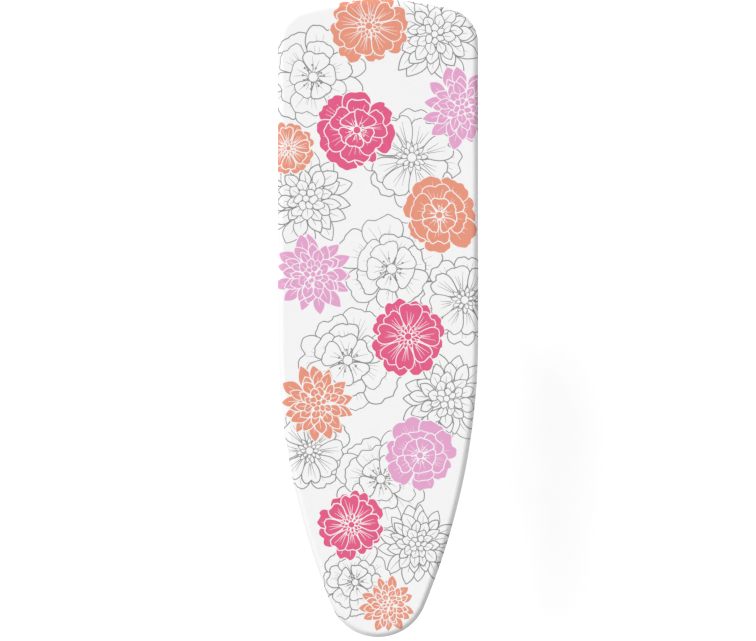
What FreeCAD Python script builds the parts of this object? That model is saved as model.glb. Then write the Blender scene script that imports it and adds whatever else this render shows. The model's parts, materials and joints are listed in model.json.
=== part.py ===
"""Free-standing ironing board with folding scissor legs and a stepless height clamp.

Row frame, in millimetres: +Z up, the floor at z = 0, the nose of the board towards -Y, the heel towards +Y.
The origin is the middle of the overall box, on the floor. The legs stand at the angle that gives
surface_height.
"""
import FreeCAD, Part
import math
import os

V = FreeCAD.Vector

# --------------------------------------------------------------------------- driving dimensions
# Ironing surface, over the cover
board_length = 1400.0
board_width = 440.0
surface_height = 900.0
nose_radius = 110.0
heel_radius = 610.0            # the heel edge is a shallow arc
heel_corner_radius = 77.0
straight_to = 738.0            # from the heel, along the board, to where the sides start to curve in

# Layers of the board
cover_thickness = 1.0
cover_top_round = 12.0
cover_bottom_round = 8.0
cover_turn_under = 36.0        # how far the cover reaches in under the board
pad_thickness = 8.0
sheet_thickness = 1.0
sheet_margin = 9.0             # plain border of the perforated sheet
rim_diameter = 16.0
rim_wall = 1.0
soft_gap = 0.3                 # between a soft layer and its rigid neighbour

# Hem of the cover and the elastic in it
hem_outer_radius = 3.2
hem_wall = 0.8
elastic_diameter = 4.0

# Diamond openings of the expanded sheet
diamond_length = 49.0          # across the board
diamond_width = 23.0           # along the board
diamond_pitch_x = 57.0
diamond_pitch_y = 29.0

# Cross braces under the sheet
brace_thickness = 3.0
brace_width = 22.0
pivot_brace_width = 56.0
nose_brace_from_nose = 170.0

# Guide rail, a C channel that is open downwards
rail_width = 44.0
rail_height = 19.5
rail_wall = 1.5
rail_lip = 6.0
slide_gap = 0.4
end_block_length = 12.0
end_block_gap = 2.0
rail_to_hem_gap = 2.8
rod_diameter = 8.0
rod_seat_depth = 9.0
rod_seat_gap = 0.05

# Legs
leg_tube_diameter = 22.0
leg_tube_wall = 1.0
upper_leg = 480.0              # from the top pivot, and from the crossbar, to the crossing
lower_leg = 580.0              # from the crossing to the foot bar
bracket_to_hem_gap = 2.0
nut_to_tube_gap = 3.0          # between a pivot nut and the inner leg when it is folded
leg_tube_overrun = 13.0        # tube past the axis of its top pivot or crossbar
opening_angle = 10.0           # degrees that the legs open beyond the working height
fold_clearance = 1.6           # between the release lever and the folded legs

# Crossbar, strut and foot bars
crossbar_diameter = 20.0
strut_diameter = 16.0
strut_from_foot = 230.0
outer_foot_half_length = 205.0
inner_foot_half_length = 180.0
foot_cap_radius = 16.0
foot_cap_flat = 1.5            # depth of the flat sole on the round cap
foot_cap_length = 46.0
foot_cap_end = 6.0
foot_cap_round = 4.8
foot_cap_groove = 1.2
foot_cap_grooves = 5
foot_cap_groove_pitch = 5.75
snug_gap = 0.05

# Bolts, bushes and end plugs
bolt_diameter = 8.0
bolt_head_radius = 8.0
bolt_head_height = 4.0
nut_hexagon_height = 3.6
nut_dome_height = 2.4
nut_dome_radius = 6.1
nut_thread_depth = 4.2
nut_across_flats = 13.0
dome_share = 0.6               # of a domed head's height that is rounded
running_gap = 0.1
bush_radius = 6.0
bush_flange_radius = 10.0
bush_flange = 1.2
bush_play = 0.3
plug_wall = 1.6
plug_lid = 3.2
plug_depth = 14.0
spacer_radius = 10.0
crossing_play = 0.3            # between the inner tube and the spacer or the nut

# Pivot brackets
ear_thickness = 2.5
ear_radius = 13.0
bracket_length = 44.0
bracket_base = 2.5
rivet_radius = 2.5
rivet_head_radius = 4.5
rivet_head_height = 1.6
rivet_from_end = 7.0

# Carriage that runs in the rail and carries the crossbar
bearing_half_width = 24.0
bearing_drop = 16.0
bearing_play = 0.25
bearing_cap_round = 3.0
cap_gap = 0.3
cap_screw_radius = 2.0
cap_screw_head_radius = 3.4
cap_screw_head_height = 2.0
cap_screw_depth = 8.0
cap_screw_wall = 1.75          # between the screw and the crossbar's bore
cap_screw_edge = 0.6           # between the screw's head and the block's end
cap_screw_from_side = 7.0
screw_slot_width = 1.0
screw_slot_depth = 1.0
pocket_wall = 2.0
pocket_roof = 1.2
pocket_play = 2.5
pocket_end_wall = 6.0

# Clamp: a pair of plates that tilt and jam on the rod, and the spring behind them
clamp_plate_width = 30.0
clamp_plate_height = 12.0
clamp_plate_thickness = 3.0
clamp_tilt = 5.0               # degrees, when it grips
clamp_hole_play = 0.45
fulcrum_overlap = 2.0          # the plates tilt about their left ends, on a step in the carriage
fulcrum_gap = 0.3
spring_room = 11.0
spring_wire = 0.9
spring_radius = 5.4
spring_pitch = 2.1

# Release lever
lever_thickness = 4.0
lever_width = 16.0
lever_hub_radius = 10.0
lever_hub_gap = 1.0
lever_pin_radius = 3.0
lever_pin_wall = 1.6
lever_pin_to_pocket = 4.0
lever_pin_depth = 10.0
lever_pin_head_radius = 6.0
lever_pin_head_height = 3.0
lever_post_radius = 2.0
lever_post_swing = 3.5         # room for the post in the rail's slot
lever_post_above_rod = 2.0
lever_toe_margin = 2.5
grip_to_leg_gap = 25.0
grip_width = 46.0
grip_length = 46.0
grip_height = 20.0
grip_skin = 0.2
grip_scoop = 7.0
grip_scoop_roof = 2.0
grip_round = 3.0
grip_corner_round = 6.0
return_spring_wire = 0.8
return_spring_pitch = 0.84
return_spring_turns = 3.0

overcut = 1.0                  # how far a cutting tool runs past the face it cuts
coil_runs_per_turn = 20
MITRED = 1                     # makePipeShell's transition at the corners of a path
tolerance = 1e-6

# --------------------------------------------------------------------------- levels and places
half_width = board_width / 2
heel_y = board_length / 2
nose_y = -board_length / 2

pad_top_z = surface_height - cover_thickness
sheet_top_z = pad_top_z - pad_thickness
sheet_bottom_z = sheet_top_z - sheet_thickness
rim_radius = rim_diameter / 2
rim_axis_z = sheet_bottom_z - rim_radius
rim_bottom_z = rim_axis_z - rim_radius
cover_bottom_z = rim_bottom_z - soft_gap - cover_thickness
brace_bottom_z = sheet_bottom_z - brace_thickness
rail_bottom_z = brace_bottom_z - rail_height
rail_inside_bottom_z = rail_bottom_z + rail_wall
rail_inside_top_z = brace_bottom_z - rail_wall
rod_z = (rail_inside_bottom_z + rail_inside_top_z) / 2

pad_inset = cover_thickness + soft_gap
rim_inset = pad_inset + rim_radius

leg_radius = leg_tube_diameter / 2
lever_top_z = rail_bottom_z - slide_gap
lever_bottom_z = lever_top_z - lever_thickness
pivot_z = lever_bottom_z - fold_clearance - leg_radius
foot_axis_z = foot_cap_radius - foot_cap_flat

hem_inset = cover_turn_under
hem_z = cover_bottom_z + cover_thickness / 2
hem_inner_inset = hem_inset + hem_outer_radius

# Places along the carriage, measured from the crossbar's axis
cap_screw_y = crossbar_diameter / 2 + bearing_play + cap_screw_radius + cap_screw_wall
cap_screw_x = bearing_half_width - cap_screw_from_side
bearing_half_length = cap_screw_y + cap_screw_head_radius + cap_screw_edge
lever_pin_from_crossbar = bearing_half_length + lever_hub_radius + lever_hub_gap
pocket_rear = lever_pin_from_crossbar + lever_pin_radius + lever_pin_to_pocket
clamp_from_crossbar = pocket_rear + spring_room + clamp_plate_thickness

# Places across the carriage
slot_half_width = rail_width / 2 - rail_wall - rail_lip
neck_half_width = slot_half_width - slide_gap
block_half_width = rail_width / 2 - rail_wall - slide_gap
lever_pin_x = lever_pin_wall + lever_pin_radius - neck_half_width
lever_post_x = slot_half_width - lever_post_radius - lever_post_swing
fulcrum_x = fulcrum_overlap - clamp_plate_width / 2

# The post just clears the front plate's face when the plates are tilted
tilt = math.radians(clamp_tilt)
clamp_face = clamp_plate_thickness / math.cos(tilt) + (lever_post_x - fulcrum_x) * math.tan(tilt)
lever_post_from_clamp = clamp_face + (lever_post_radius + fulcrum_gap) / math.cos(tilt)
pocket_front = clamp_from_crossbar + lever_post_from_clamp + lever_post_radius + pocket_play
carriage_front = pocket_front + pocket_end_wall

# Folded, the carriage stops short of the hem at the heel, and that places the top pivot
leg_length = upper_leg + lower_leg
leg_angle = math.asin((pivot_z - foot_axis_z) / leg_length)
rail_rear_y = heel_y - hem_inner_inset - rail_to_hem_gap
folded_crossbar_y = rail_rear_y - end_block_length - end_block_gap - bearing_half_length
pivot_y = folded_crossbar_y - 2 * upper_leg
crossbar_y = pivot_y + 2 * upper_leg * math.cos(leg_angle)
highest_crossbar_y = pivot_y + 2 * upper_leg * math.cos(leg_angle + math.radians(opening_angle))
rail_front_y = highest_crossbar_y - carriage_front - end_block_gap - end_block_length
clamp_y = crossbar_y - clamp_from_crossbar
lever_pin_y = crossbar_y - lever_pin_from_crossbar
lever_post_y = clamp_y - lever_post_from_clamp

# Outline of the board: each half is a heel arc, a corner arc, a straight side, a long side arc and the nose
side_y = heel_y - straight_to
nose_centre = V(0, nose_y + nose_radius, 0)
side_drop = side_y - nose_centre.y
side_radius = (half_width ** 2 - nose_radius ** 2 + side_drop ** 2) / (2 * (half_width - nose_radius))
side_centre = V(half_width - side_radius, side_y, 0)
heel_centre = V(0, heel_y - heel_radius, 0)
corner_x = half_width - heel_corner_radius
corner_rise = math.sqrt((heel_radius - heel_corner_radius) ** 2 - corner_x ** 2)
corner_centre = V(corner_x, heel_centre.y + corner_rise, 0)
heel_angle = math.atan2(corner_rise, corner_x)
nose_angle = math.atan2(nose_centre.y - side_centre.y, -side_centre.x)

# Across the board: the brackets stand just inside the hem, and each pair of tubes keeps clear of the nuts
ear_gap = leg_radius + bush_flange + bush_play     # from the tube's axis to the face of an ear
nut_height = nut_hexagon_height + nut_dome_height
bracket_nose_end_y = pivot_y - bracket_length / 2
hem_reach = (side_radius - hem_inner_inset) ** 2 - (bracket_nose_end_y - side_y) ** 2
hem_x = side_centre.x + math.sqrt(hem_reach)
outer_leg_half_spacing = hem_x - bracket_to_hem_gap - ear_thickness - ear_gap
leg_gap = ear_gap - leg_radius + ear_thickness + nut_height + nut_to_tube_gap
inner_leg_half_spacing = outer_leg_half_spacing - leg_tube_diameter - leg_gap
grip_inner_x = outer_leg_half_spacing + leg_radius + grip_to_leg_gap
grip_outer_x = grip_inner_x + grip_width

outer_direction = V(0, math.cos(leg_angle), -math.sin(leg_angle))    # down the outer leg
inner_direction = V(0, -math.cos(leg_angle), -math.sin(leg_angle))   # down the inner leg
outer_top = V(0, pivot_y, pivot_z)
inner_top = V(0, crossbar_y, pivot_z)
crossing = outer_top + outer_direction * upper_leg
outer_foot = outer_top + outer_direction * leg_length
inner_foot = inner_top + inner_direction * leg_length

SIDES = (("left", -1), ("right", 1))
X, Y, Z = V(1, 0, 0), V(0, 1, 0), V(0, 0, 1)


# --------------------------------------------------------------------------- small builders
def box(x0, x1, y0, y1, z0, z1):
    return Part.makeBox(x1 - x0, y1 - y0, z1 - z0, V(x0, y0, z0))


def rod(start, end, radius):
    """A solid round bar between two points."""
    return Part.makeCylinder(radius, (end - start).Length, start, end - start)


def tube(start, end, radius, wall):
    return rod(start, end, radius).cut(rod(start, end, radius - wall))


def at_x(point, x):
    return V(x, point.y, point.z)


def ring(centre, axis, outer, inner, length):
    """A washer or sleeve that starts at centre and runs along axis."""
    body = Part.makeCylinder(outer, length, centre, axis)
    return body.cut(Part.makeCylinder(inner, length, centre, axis))


def hexagon_bar(centre, axis, across_flats, length):
    """A hexagonal prism along X from centre; axis is V(1,0,0) or V(-1,0,0)."""
    corner = across_flats / math.sqrt(3)
    points = [
        centre + V(0, corner * math.cos(math.radians(60 * k)), corner * math.sin(math.radians(60 * k)))
        for k in range(7)
    ]
    return Part.Face(Part.makePolygon(points)).extrude(axis * length)


def dome(centre, axis, radius, height):
    """A low domed head: a flat disc whose far edge is rounded."""
    head = Part.makeCylinder(radius, height, centre, axis)
    far = centre + axis * height
    edges = [e for e in head.Edges if e.BoundBox.Center.distanceToPoint(far) < tolerance]
    return head.makeFillet(height * dome_share, edges)


def coil(centre, axis, radius, wire, pitch, turns):
    """A helical spring of short straight runs that starts at centre and runs along axis."""
    runs = round(turns * coil_runs_per_turn)
    turn_step = 2 * math.pi * turns / runs
    points = [polar(V(0, 0, 0), radius, k * turn_step, k * pitch * turns / runs) for k in range(runs + 1)]
    profile = Part.Wire(Part.Circle(points[0], points[1] - points[0], wire / 2).toShape())
    spring = Part.makePolygon(points).makePipeShell([profile], True, False, MITRED)
    turn = FreeCAD.Rotation(Z, axis)
    spring.rotate(V(0, 0, 0), turn.Axis, math.degrees(turn.Angle))
    spring.translate(centre)
    return spring


# --------------------------------------------------------------------------- outline of the board
def polar(centre, radius, angle, z):
    return V(centre.x + radius * math.cos(angle), centre.y + radius * math.sin(angle), z)


def arc(centre, radius, start, end, z):
    middle = (start + end) / 2
    points = [polar(centre, radius, angle, z) for angle in (start, middle, end)]
    return Part.Arc(*points).toShape()


def mirrored(centre):
    return V(-centre.x, centre.y, 0)


def outline(inset, z):
    """The board's edge moved in by inset, as a closed wire that starts up the straight right side."""
    x = half_width - inset
    corner, side, nose = heel_corner_radius - inset, side_radius - inset, nose_radius - inset
    heel = heel_radius - inset
    right = [
        Part.makeLine(V(x, side_y, z), V(x, corner_centre.y, z)),
        arc(corner_centre, corner, 0.0, heel_angle, z),
    ]
    left = [
        arc(mirrored(corner_centre), corner, math.pi - heel_angle, math.pi, z),
        Part.makeLine(V(-x, corner_centre.y, z), V(-x, side_y, z)),
        arc(mirrored(side_centre), side, math.pi, math.pi - nose_angle, z),
    ]
    return Part.Wire(
        right
        + [arc(heel_centre, heel, heel_angle, math.pi - heel_angle, z)]
        + left
        + [arc(nose_centre, nose, -math.pi - nose_angle, nose_angle, z)]
        + [arc(side_centre, side, nose_angle, 0.0, z)]
    )


def slab(inset, z0, z1):
    return Part.Face(outline(inset, z0)).extrude(V(0, 0, z1 - z0))


def hoop(inset, z, radius):
    """A round bar bent along the board's edge."""
    path = outline(inset, z)
    start = V(half_width - inset, side_y, z)
    profile = Part.Wire(Part.Circle(start, Y, radius).toShape())
    return path.makePipeShell([profile], True, False)


def inside(x, y, inset):
    """True if the point lies within the edge moved in by inset."""
    x = abs(x)
    point = V(x, y, 0)
    if y >= corner_centre.y:
        if x > corner_centre.x:
            return point.distanceToPoint(corner_centre) <= heel_corner_radius - inset
        return point.distanceToPoint(heel_centre) <= heel_radius - inset
    if y >= side_y:
        return x <= half_width - inset
    if y >= nose_centre.y + nose_radius * math.sin(nose_angle):
        return point.distanceToPoint(side_centre) <= side_radius - inset
    return point.distanceToPoint(nose_centre) <= nose_radius - inset


def edges_at(shape, z):
    return [e for e in shape.Edges if abs(e.BoundBox.ZMin - z) + abs(e.BoundBox.ZMax - z) < tolerance]


# --------------------------------------------------------------------------- soft layers
def rounded_slab(inset, z0, z1, bottom_round, top_round):
    body = slab(inset, z0, z1)
    body = body.makeFillet(top_round, edges_at(body, z1))
    return body.makeFillet(bottom_round, edges_at(body, z0)) if bottom_round else body


def fabric_cover():
    outer = rounded_slab(0.0, cover_bottom_z, surface_height, cover_bottom_round, cover_top_round)
    inner = rounded_slab(
        cover_thickness,
        cover_bottom_z + cover_thickness,
        pad_top_z,
        cover_bottom_round - cover_thickness,
        cover_top_round - cover_thickness,
    )
    shell = outer.cut(inner).cut(slab(hem_inset, cover_bottom_z - 1, cover_bottom_z + cover_thickness + 1))
    hem = hoop(hem_inset, hem_z, hem_outer_radius)
    return shell.fuse(hem).cut(hoop(hem_inset, hem_z, hem_outer_radius - hem_wall))


def hem_elastic():
    return hoop(hem_inset, hem_z, elastic_diameter / 2)


def foam_pad():
    """The felt on the sheet, rounded to the inside of the cover."""
    body = rounded_slab(pad_inset, rim_axis_z, pad_top_z, 0, cover_top_round - cover_thickness)
    return body.common(slab(pad_inset, sheet_top_z, pad_top_z))


# --------------------------------------------------------------------------- steel top
def diamond(x, y, z):
    """Its corners, in the clockwise order that a hole's edge needs."""
    return [
        V(x - diamond_length / 2, y, z),
        V(x, y + diamond_width / 2, z),
        V(x + diamond_length / 2, y, z),
        V(x, y - diamond_width / 2, z),
    ]


def mesh_top():
    """The expanded steel sheet: staggered diamonds, kept whole and clear of the border."""
    border = rim_inset + sheet_margin
    holes = []
    rows = int(heel_y / diamond_pitch_y) + 1
    columns = int(half_width / diamond_pitch_x) + 1
    for row in range(-2 * rows, 2 * rows + 1):
        y = row * diamond_pitch_y / 2
        shift = diamond_pitch_x / 2 if row % 2 else 0.0
        for column in range(-columns, columns + 1):
            points = diamond(column * diamond_pitch_x + shift, y, sheet_bottom_z)
            if all(inside(p.x, p.y, border) for p in points):
                holes.append(Part.makePolygon(points + points[:1]))
    sheet = Part.Face([outline(rim_inset - rim_radius + soft_gap, sheet_bottom_z)] + holes)
    return sheet.extrude(V(0, 0, sheet_thickness))


def rim_tube():
    return hoop(rim_inset, rim_axis_z, rim_radius).cut(hoop(rim_inset, rim_axis_z, rim_radius - rim_wall))


def brace(y, width):
    """A flat strip across the board, under the sheet, with its ends shaped to the rim."""
    strip = box(-half_width, half_width, y - width / 2, y + width / 2, brace_bottom_z, sheet_bottom_z)
    strip = strip.common(slab(rim_inset, brace_bottom_z, sheet_bottom_z))
    return strip.cut(hoop(rim_inset, rim_axis_z, rim_radius))


def pivot_brace(y, width):
    """The wide brace that carries the pivot brackets, drilled for their rivets."""
    strip = brace(y, width)
    for x, hole_y in [(sign * outer_leg_half_spacing, dy) for side, sign in SIDES for dy in bracket_places]:
        low = V(x, y + hole_y, brace_bottom_z)
        strip = strip.cut(rod(low, low + Z * brace_thickness, rivet_radius + snug_gap))
    return strip


rail_middle_y = (rail_front_y + rail_rear_y) / 2
brace_places = {
    "brace_nose": (nose_y + nose_brace_from_nose, brace_width),
    "brace_rail_front": (rail_front_y + brace_width / 2, brace_width),
    "brace_rail_middle": (rail_middle_y, brace_width),
    "brace_rail_rear": (rail_rear_y - brace_width, brace_width),
}


# --------------------------------------------------------------------------- guide rail and rod
def guide_rail():
    half = rail_width / 2
    slot = slot_half_width
    rail = box(-half, half, rail_front_y, rail_rear_y, rail_bottom_z, brace_bottom_z)
    inside_half = half - rail_wall
    rail = rail.cut(
        box(-inside_half, inside_half, rail_front_y, rail_rear_y, rail_inside_bottom_z, rail_inside_top_z)
    )
    return rail.cut(box(-slot, slot, rail_front_y, rail_rear_y, rail_bottom_z, rail_inside_bottom_z))


block_bottom_z = rail_inside_bottom_z + slide_gap
block_top_z = rail_inside_top_z - slide_gap
rod_front_y = rail_front_y + end_block_length - rod_seat_depth
rod_rear_y = rail_rear_y - end_block_length + rod_seat_depth


def rail_end_block(y):
    """A moulded plug that fills the end of the rail and holds the guide rod; y is its lower end."""
    width = rail_width / 2 - rail_wall
    block = box(-width, width, y, y + end_block_length, rail_inside_bottom_z, rail_inside_top_z)
    seat = rod_diameter / 2 + rod_seat_gap
    return block.cut(rod(V(0, rod_front_y, rod_z), V(0, rod_rear_y, rod_z), seat))


def guide_rod():
    return rod(V(0, rod_front_y, rod_z), V(0, rod_rear_y, rod_z), rod_diameter / 2)


# --------------------------------------------------------------------------- pivot brackets and fasteners
bracket_places = [rivet_from_end - bracket_length / 2, bracket_length / 2 - rivet_from_end]


def pivot_bracket(sign):
    """A steel saddle with two ears that hold the top pivot of one outer leg tube."""
    middle = sign * outer_leg_half_spacing
    outside = ear_gap + ear_thickness
    base = box(
        middle - outside,
        middle + outside,
        pivot_y - bracket_length / 2,
        pivot_y + bracket_length / 2,
        brace_bottom_z - bracket_base,
        brace_bottom_z,
    )
    bracket = base
    for side in (-1, 1):
        face_x = middle + (ear_gap if side > 0 else -ear_gap - ear_thickness)
        axis_point = V(face_x, pivot_y, pivot_z)
        round_end = Part.makeCylinder(ear_radius, ear_thickness, axis_point, X)
        shoulder = V(face_x, pivot_y - bracket_length / 2, brace_bottom_z - bracket_base)
        spread = Part.makePolygon(
            [
                shoulder,
                V(face_x, pivot_y - ear_radius, pivot_z),
                V(face_x, pivot_y + ear_radius, pivot_z),
                V(face_x, pivot_y + bracket_length / 2, shoulder.z),
                shoulder,
            ]
        )
        bracket = bracket.fuse(round_end).fuse(Part.Face(spread).extrude(X * ear_thickness))
    bracket = bracket.removeSplitter()
    reach = V(middle - outside, pivot_y, pivot_z), V(middle + outside, pivot_y, pivot_z)
    bracket = bracket.cut(rod(reach[0], reach[1], bolt_diameter / 2 + snug_gap))
    for y in bracket_places:
        low = V(middle, pivot_y + y, brace_bottom_z - bracket_base)
        bracket = bracket.cut(rod(low, low + Z * bracket_base, rivet_radius + snug_gap))
    return bracket


def bolt(point, sign, head_x, nut_x):
    """A domed bolt along X with its head outside, at head_x, and its thread's end past nut_x."""
    outward = X * sign
    head = dome(at_x(point, sign * head_x), outward, bolt_head_radius, bolt_head_height)
    shank_end = at_x(point, sign * (nut_x - nut_thread_depth))
    return head.fuse(rod(at_x(point, sign * head_x), shank_end, bolt_diameter / 2))


def cap_nut(point, sign, nut_x):
    """A hexagonal nut with a domed end, screwed on from the inside."""
    inward = X * -sign
    start = at_x(point, sign * nut_x)
    body = hexagon_bar(start, inward, nut_across_flats, nut_hexagon_height)
    cap = dome(start + inward * nut_hexagon_height, inward, nut_dome_radius, nut_dome_height)
    bore = rod(start, start + inward * nut_thread_depth, bolt_diameter / 2 + snug_gap)
    return body.fuse(cap).cut(bore)


pivot_head_x = outer_leg_half_spacing + ear_gap + ear_thickness
pivot_nut_x = outer_leg_half_spacing - ear_gap - ear_thickness
crossing_head_x = outer_leg_half_spacing + leg_radius
crossing_nut_x = inner_leg_half_spacing - leg_radius - crossing_play


def bracket_rivets(sign):
    """Two rivets that hold a bracket to its brace: heads below, shanks flush with the brace's top."""
    rivets = []
    for y in bracket_places:
        low = V(sign * outer_leg_half_spacing, pivot_y + y, brace_bottom_z - bracket_base)
        head = dome(low, Z * -1, rivet_head_radius, rivet_head_height)
        rivets.append(head.fuse(rod(low, low + Z * (bracket_base + brace_thickness), rivet_radius)))
    return Part.makeCompound(rivets)


# --------------------------------------------------------------------------- leg tubes and bars
def leg_tube(top, direction, x, pivot_hole, wall_hole):
    """One side tube of a leg, from just past its top axis to the foot bar, drilled at the crossing."""
    start = at_x(top - direction * leg_tube_overrun, x)
    foot = at_x(top + direction * leg_length, x)
    pipe = tube(start, foot, leg_radius, leg_tube_wall)
    reach = V(leg_tube_diameter, 0, 0)
    pipe = pipe.cut(rod(foot - reach, foot + reach, leg_radius))
    middle = at_x(crossing, x)
    pipe = pipe.cut(rod(middle - reach, middle + reach, bolt_diameter / 2 + wall_hole))
    if pivot_hole:
        axis = at_x(top, x)
        pipe = pipe.cut(rod(axis - reach, axis + reach, pivot_hole))
    return pipe


def between_tubes(point, half_spacing, radius, wall, top, direction):
    """A round tube along X whose ends are shaped to the two side tubes of a leg."""
    bar = tube(at_x(point, -half_spacing), at_x(point, half_spacing), radius, wall)
    for sign in (-1, 1):
        start = at_x(top - direction * leg_tube_overrun, sign * half_spacing)
        end = at_x(top + direction * leg_length, sign * half_spacing)
        bar = bar.cut(rod(start, end, leg_radius))
    return bar


def foot_bar(foot, half_length):
    return tube(at_x(foot, -half_length), at_x(foot, half_length), leg_radius, leg_tube_wall)


def foot_cap(foot, half_length, sign):
    """A moulded rubber shoe over the end of a foot bar: round, ribbed, with a flat sole."""
    inner_x = half_length - foot_cap_length + foot_cap_end
    outer_x = half_length + foot_cap_end
    shoe = rod(at_x(foot, sign * inner_x), at_x(foot, sign * outer_x), foot_cap_radius)
    far_x = sign * outer_x
    far_edges = [
        e for e in shoe.Edges if abs(e.BoundBox.XMin - far_x) + abs(e.BoundBox.XMax - far_x) < tolerance
    ]
    shoe = shoe.makeFillet(foot_cap_round, far_edges)
    middle_x = (inner_x + outer_x) / 2
    for k in range(foot_cap_grooves):
        x = sign * (middle_x + (k - (foot_cap_grooves - 1) / 2) * foot_cap_groove_pitch)
        start = at_x(foot, x - foot_cap_groove / 2)
        depth_radius = foot_cap_radius - foot_cap_groove
        shoe = shoe.cut(ring(start, X, foot_cap_radius + overcut, depth_radius, foot_cap_groove))
    bore = rod(at_x(foot, sign * inner_x), at_x(foot, sign * half_length), leg_radius + snug_gap)
    reach = 2 * foot_cap_radius
    below = box(-half_width, half_width, foot.y - reach, foot.y + reach, -reach, 0)
    return shoe.cut(bore).cut(below)


def end_plug(top, direction, x, hole):
    """A moulded plug that closes the upper end of a leg tube."""
    end = at_x(top - direction * leg_tube_overrun, x)
    lid = dome(end, direction * -1, leg_radius, plug_lid)
    stem_radius = leg_radius - leg_tube_wall - snug_gap
    plug = lid.fuse(tube(end, end + direction * plug_depth, stem_radius, plug_wall))
    reach = V(leg_tube_diameter, 0, 0)
    axis = at_x(top, x)
    return plug.cut(rod(axis - reach, axis + reach, hole))


def pivot_bush(sign):
    """A flanged sleeve across the outer leg tube that turns on the pivot bolt; its flanges hug the tube."""
    middle = sign * outer_leg_half_spacing
    bore = bolt_diameter / 2 + running_gap
    half_length = leg_radius + bush_flange
    bush = ring(V(middle - half_length, pivot_y, pivot_z), X, bush_radius, bore, 2 * half_length)
    for flange_x in (middle - half_length, middle + leg_radius):
        bush = bush.fuse(ring(V(flange_x, pivot_y, pivot_z), X, bush_flange_radius, bore, bush_flange))
    return bush


def crossing_spacer(sign):
    """A nylon sleeve that keeps the outer and inner leg tubes apart at the crossing."""
    inner_x = inner_leg_half_spacing + leg_radius + crossing_play
    outer_x = outer_leg_half_spacing - leg_radius
    start = at_x(crossing, inner_x if sign > 0 else -outer_x)
    return ring(start, X, spacer_radius, bolt_diameter / 2 + snug_gap, outer_x - inner_x)


# --------------------------------------------------------------------------- carriage, clamp and lever
bearing_bottom_z = pivot_z - bearing_drop
bearing_top_z = lever_bottom_z - slide_gap
cap_split_z = pivot_z - cap_gap / 2
cap_screw_places = [(sx * cap_screw_x, sy * cap_screw_y) for sx in (-1, 1) for sy in (-1, 1)]


def slide_carriage():
    """The block that runs in the rail, its neck through the slot and the upper half of the bearing."""
    front_y, rear_y = crossbar_y - bearing_half_length, crossbar_y + bearing_half_length
    body = box(
        -block_half_width, block_half_width, crossbar_y - carriage_front, rear_y, block_bottom_z, block_top_z
    )
    body = body.fuse(box(-neck_half_width, neck_half_width, front_y, rear_y, bearing_top_z, block_bottom_z))
    body = body.fuse(
        box(-bearing_half_width, bearing_half_width, front_y, rear_y, cap_split_z + cap_gap, bearing_top_z)
    )
    pocket_half = block_half_width - pocket_wall
    pocket_top_z = block_top_z - pocket_roof
    body = body.cut(
        box(
            -pocket_half, pocket_half,
            crossbar_y - pocket_front, crossbar_y - pocket_rear,
            block_bottom_z, pocket_top_z,
        )
    )
    fulcrum = box(
        -pocket_half, fulcrum_x,
        crossbar_y - pocket_front, clamp_y - clamp_plate_thickness - fulcrum_gap,
        block_bottom_z, pocket_top_z,
    )
    body = body.fuse(fulcrum)
    rod_start = V(0, crossbar_y - carriage_front, rod_z)
    body = body.cut(rod(rod_start, V(0, rear_y, rod_z), rod_diameter / 2 + bearing_play))
    body = body.cut(
        rod(
            V(-bearing_half_width, crossbar_y, pivot_z),
            V(bearing_half_width, crossbar_y, pivot_z),
            crossbar_diameter / 2 + bearing_play,
        )
    )
    pin_base = V(lever_pin_x, lever_pin_y, block_bottom_z)
    body = body.cut(rod(pin_base, pin_base + Z * lever_pin_depth, lever_pin_radius + snug_gap))
    for x, y in cap_screw_places:
        low = V(x, crossbar_y + y, cap_split_z)
        body = body.cut(rod(low, low + Z * cap_screw_depth, cap_screw_radius + snug_gap))
    return body


def bearing_cap():
    """The lower half of the crossbar's bearing."""
    cap = box(
        -bearing_half_width, bearing_half_width,
        crossbar_y - bearing_half_length, crossbar_y + bearing_half_length,
        bearing_bottom_z, cap_split_z,
    )
    lower_edges = [
        e for e in edges_at(cap, bearing_bottom_z) if abs(e.BoundBox.YMax - e.BoundBox.YMin) < tolerance
    ]
    cap = cap.makeFillet(bearing_cap_round, lower_edges)
    cap = cap.cut(
        rod(
            V(-bearing_half_width, crossbar_y, pivot_z),
            V(bearing_half_width, crossbar_y, pivot_z),
            crossbar_diameter / 2 + bearing_play,
        )
    )
    for x, y in cap_screw_places:
        low = V(x, crossbar_y + y, bearing_bottom_z)
        cap = cap.cut(rod(low, low + Z * bearing_drop, cap_screw_radius + snug_gap))
        cap = cap.cut(rod(low, low + Z * cap_screw_head_height, cap_screw_head_radius + snug_gap))
    return cap


def cap_screws():
    screws = []
    for x, y in cap_screw_places:
        low = V(x, crossbar_y + y, bearing_bottom_z)
        head = rod(low, low + Z * cap_screw_head_height, cap_screw_head_radius)
        shank = rod(low, V(x, crossbar_y + y, cap_split_z + cap_screw_depth), cap_screw_radius)
        slot = box(
            x - cap_screw_head_radius, x + cap_screw_head_radius,
            low.y - screw_slot_width / 2, low.y + screw_slot_width / 2,
            low.z, low.z + screw_slot_depth,
        )
        screws.append(head.fuse(shank).cut(slot))
    return Part.makeCompound(screws)


def clamp_plate(layer):
    """One of the two hardened plates on the guide rod; layer is -1 for the front, 0 for the rear."""
    low_y = clamp_y + layer * clamp_plate_thickness
    plate = box(
        -clamp_plate_width / 2, clamp_plate_width / 2,
        low_y, low_y + clamp_plate_thickness,
        rod_z - clamp_plate_height / 2, rod_z + clamp_plate_height / 2,
    )
    reach = V(0, 2 * clamp_plate_thickness, 0)
    centre = V(0, clamp_y, rod_z)
    plate = plate.cut(rod(centre - reach, centre + reach, rod_diameter / 2 + clamp_hole_play))
    plate.rotate(V(fulcrum_x, clamp_y, rod_z), Z, -clamp_tilt)
    return plate


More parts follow.
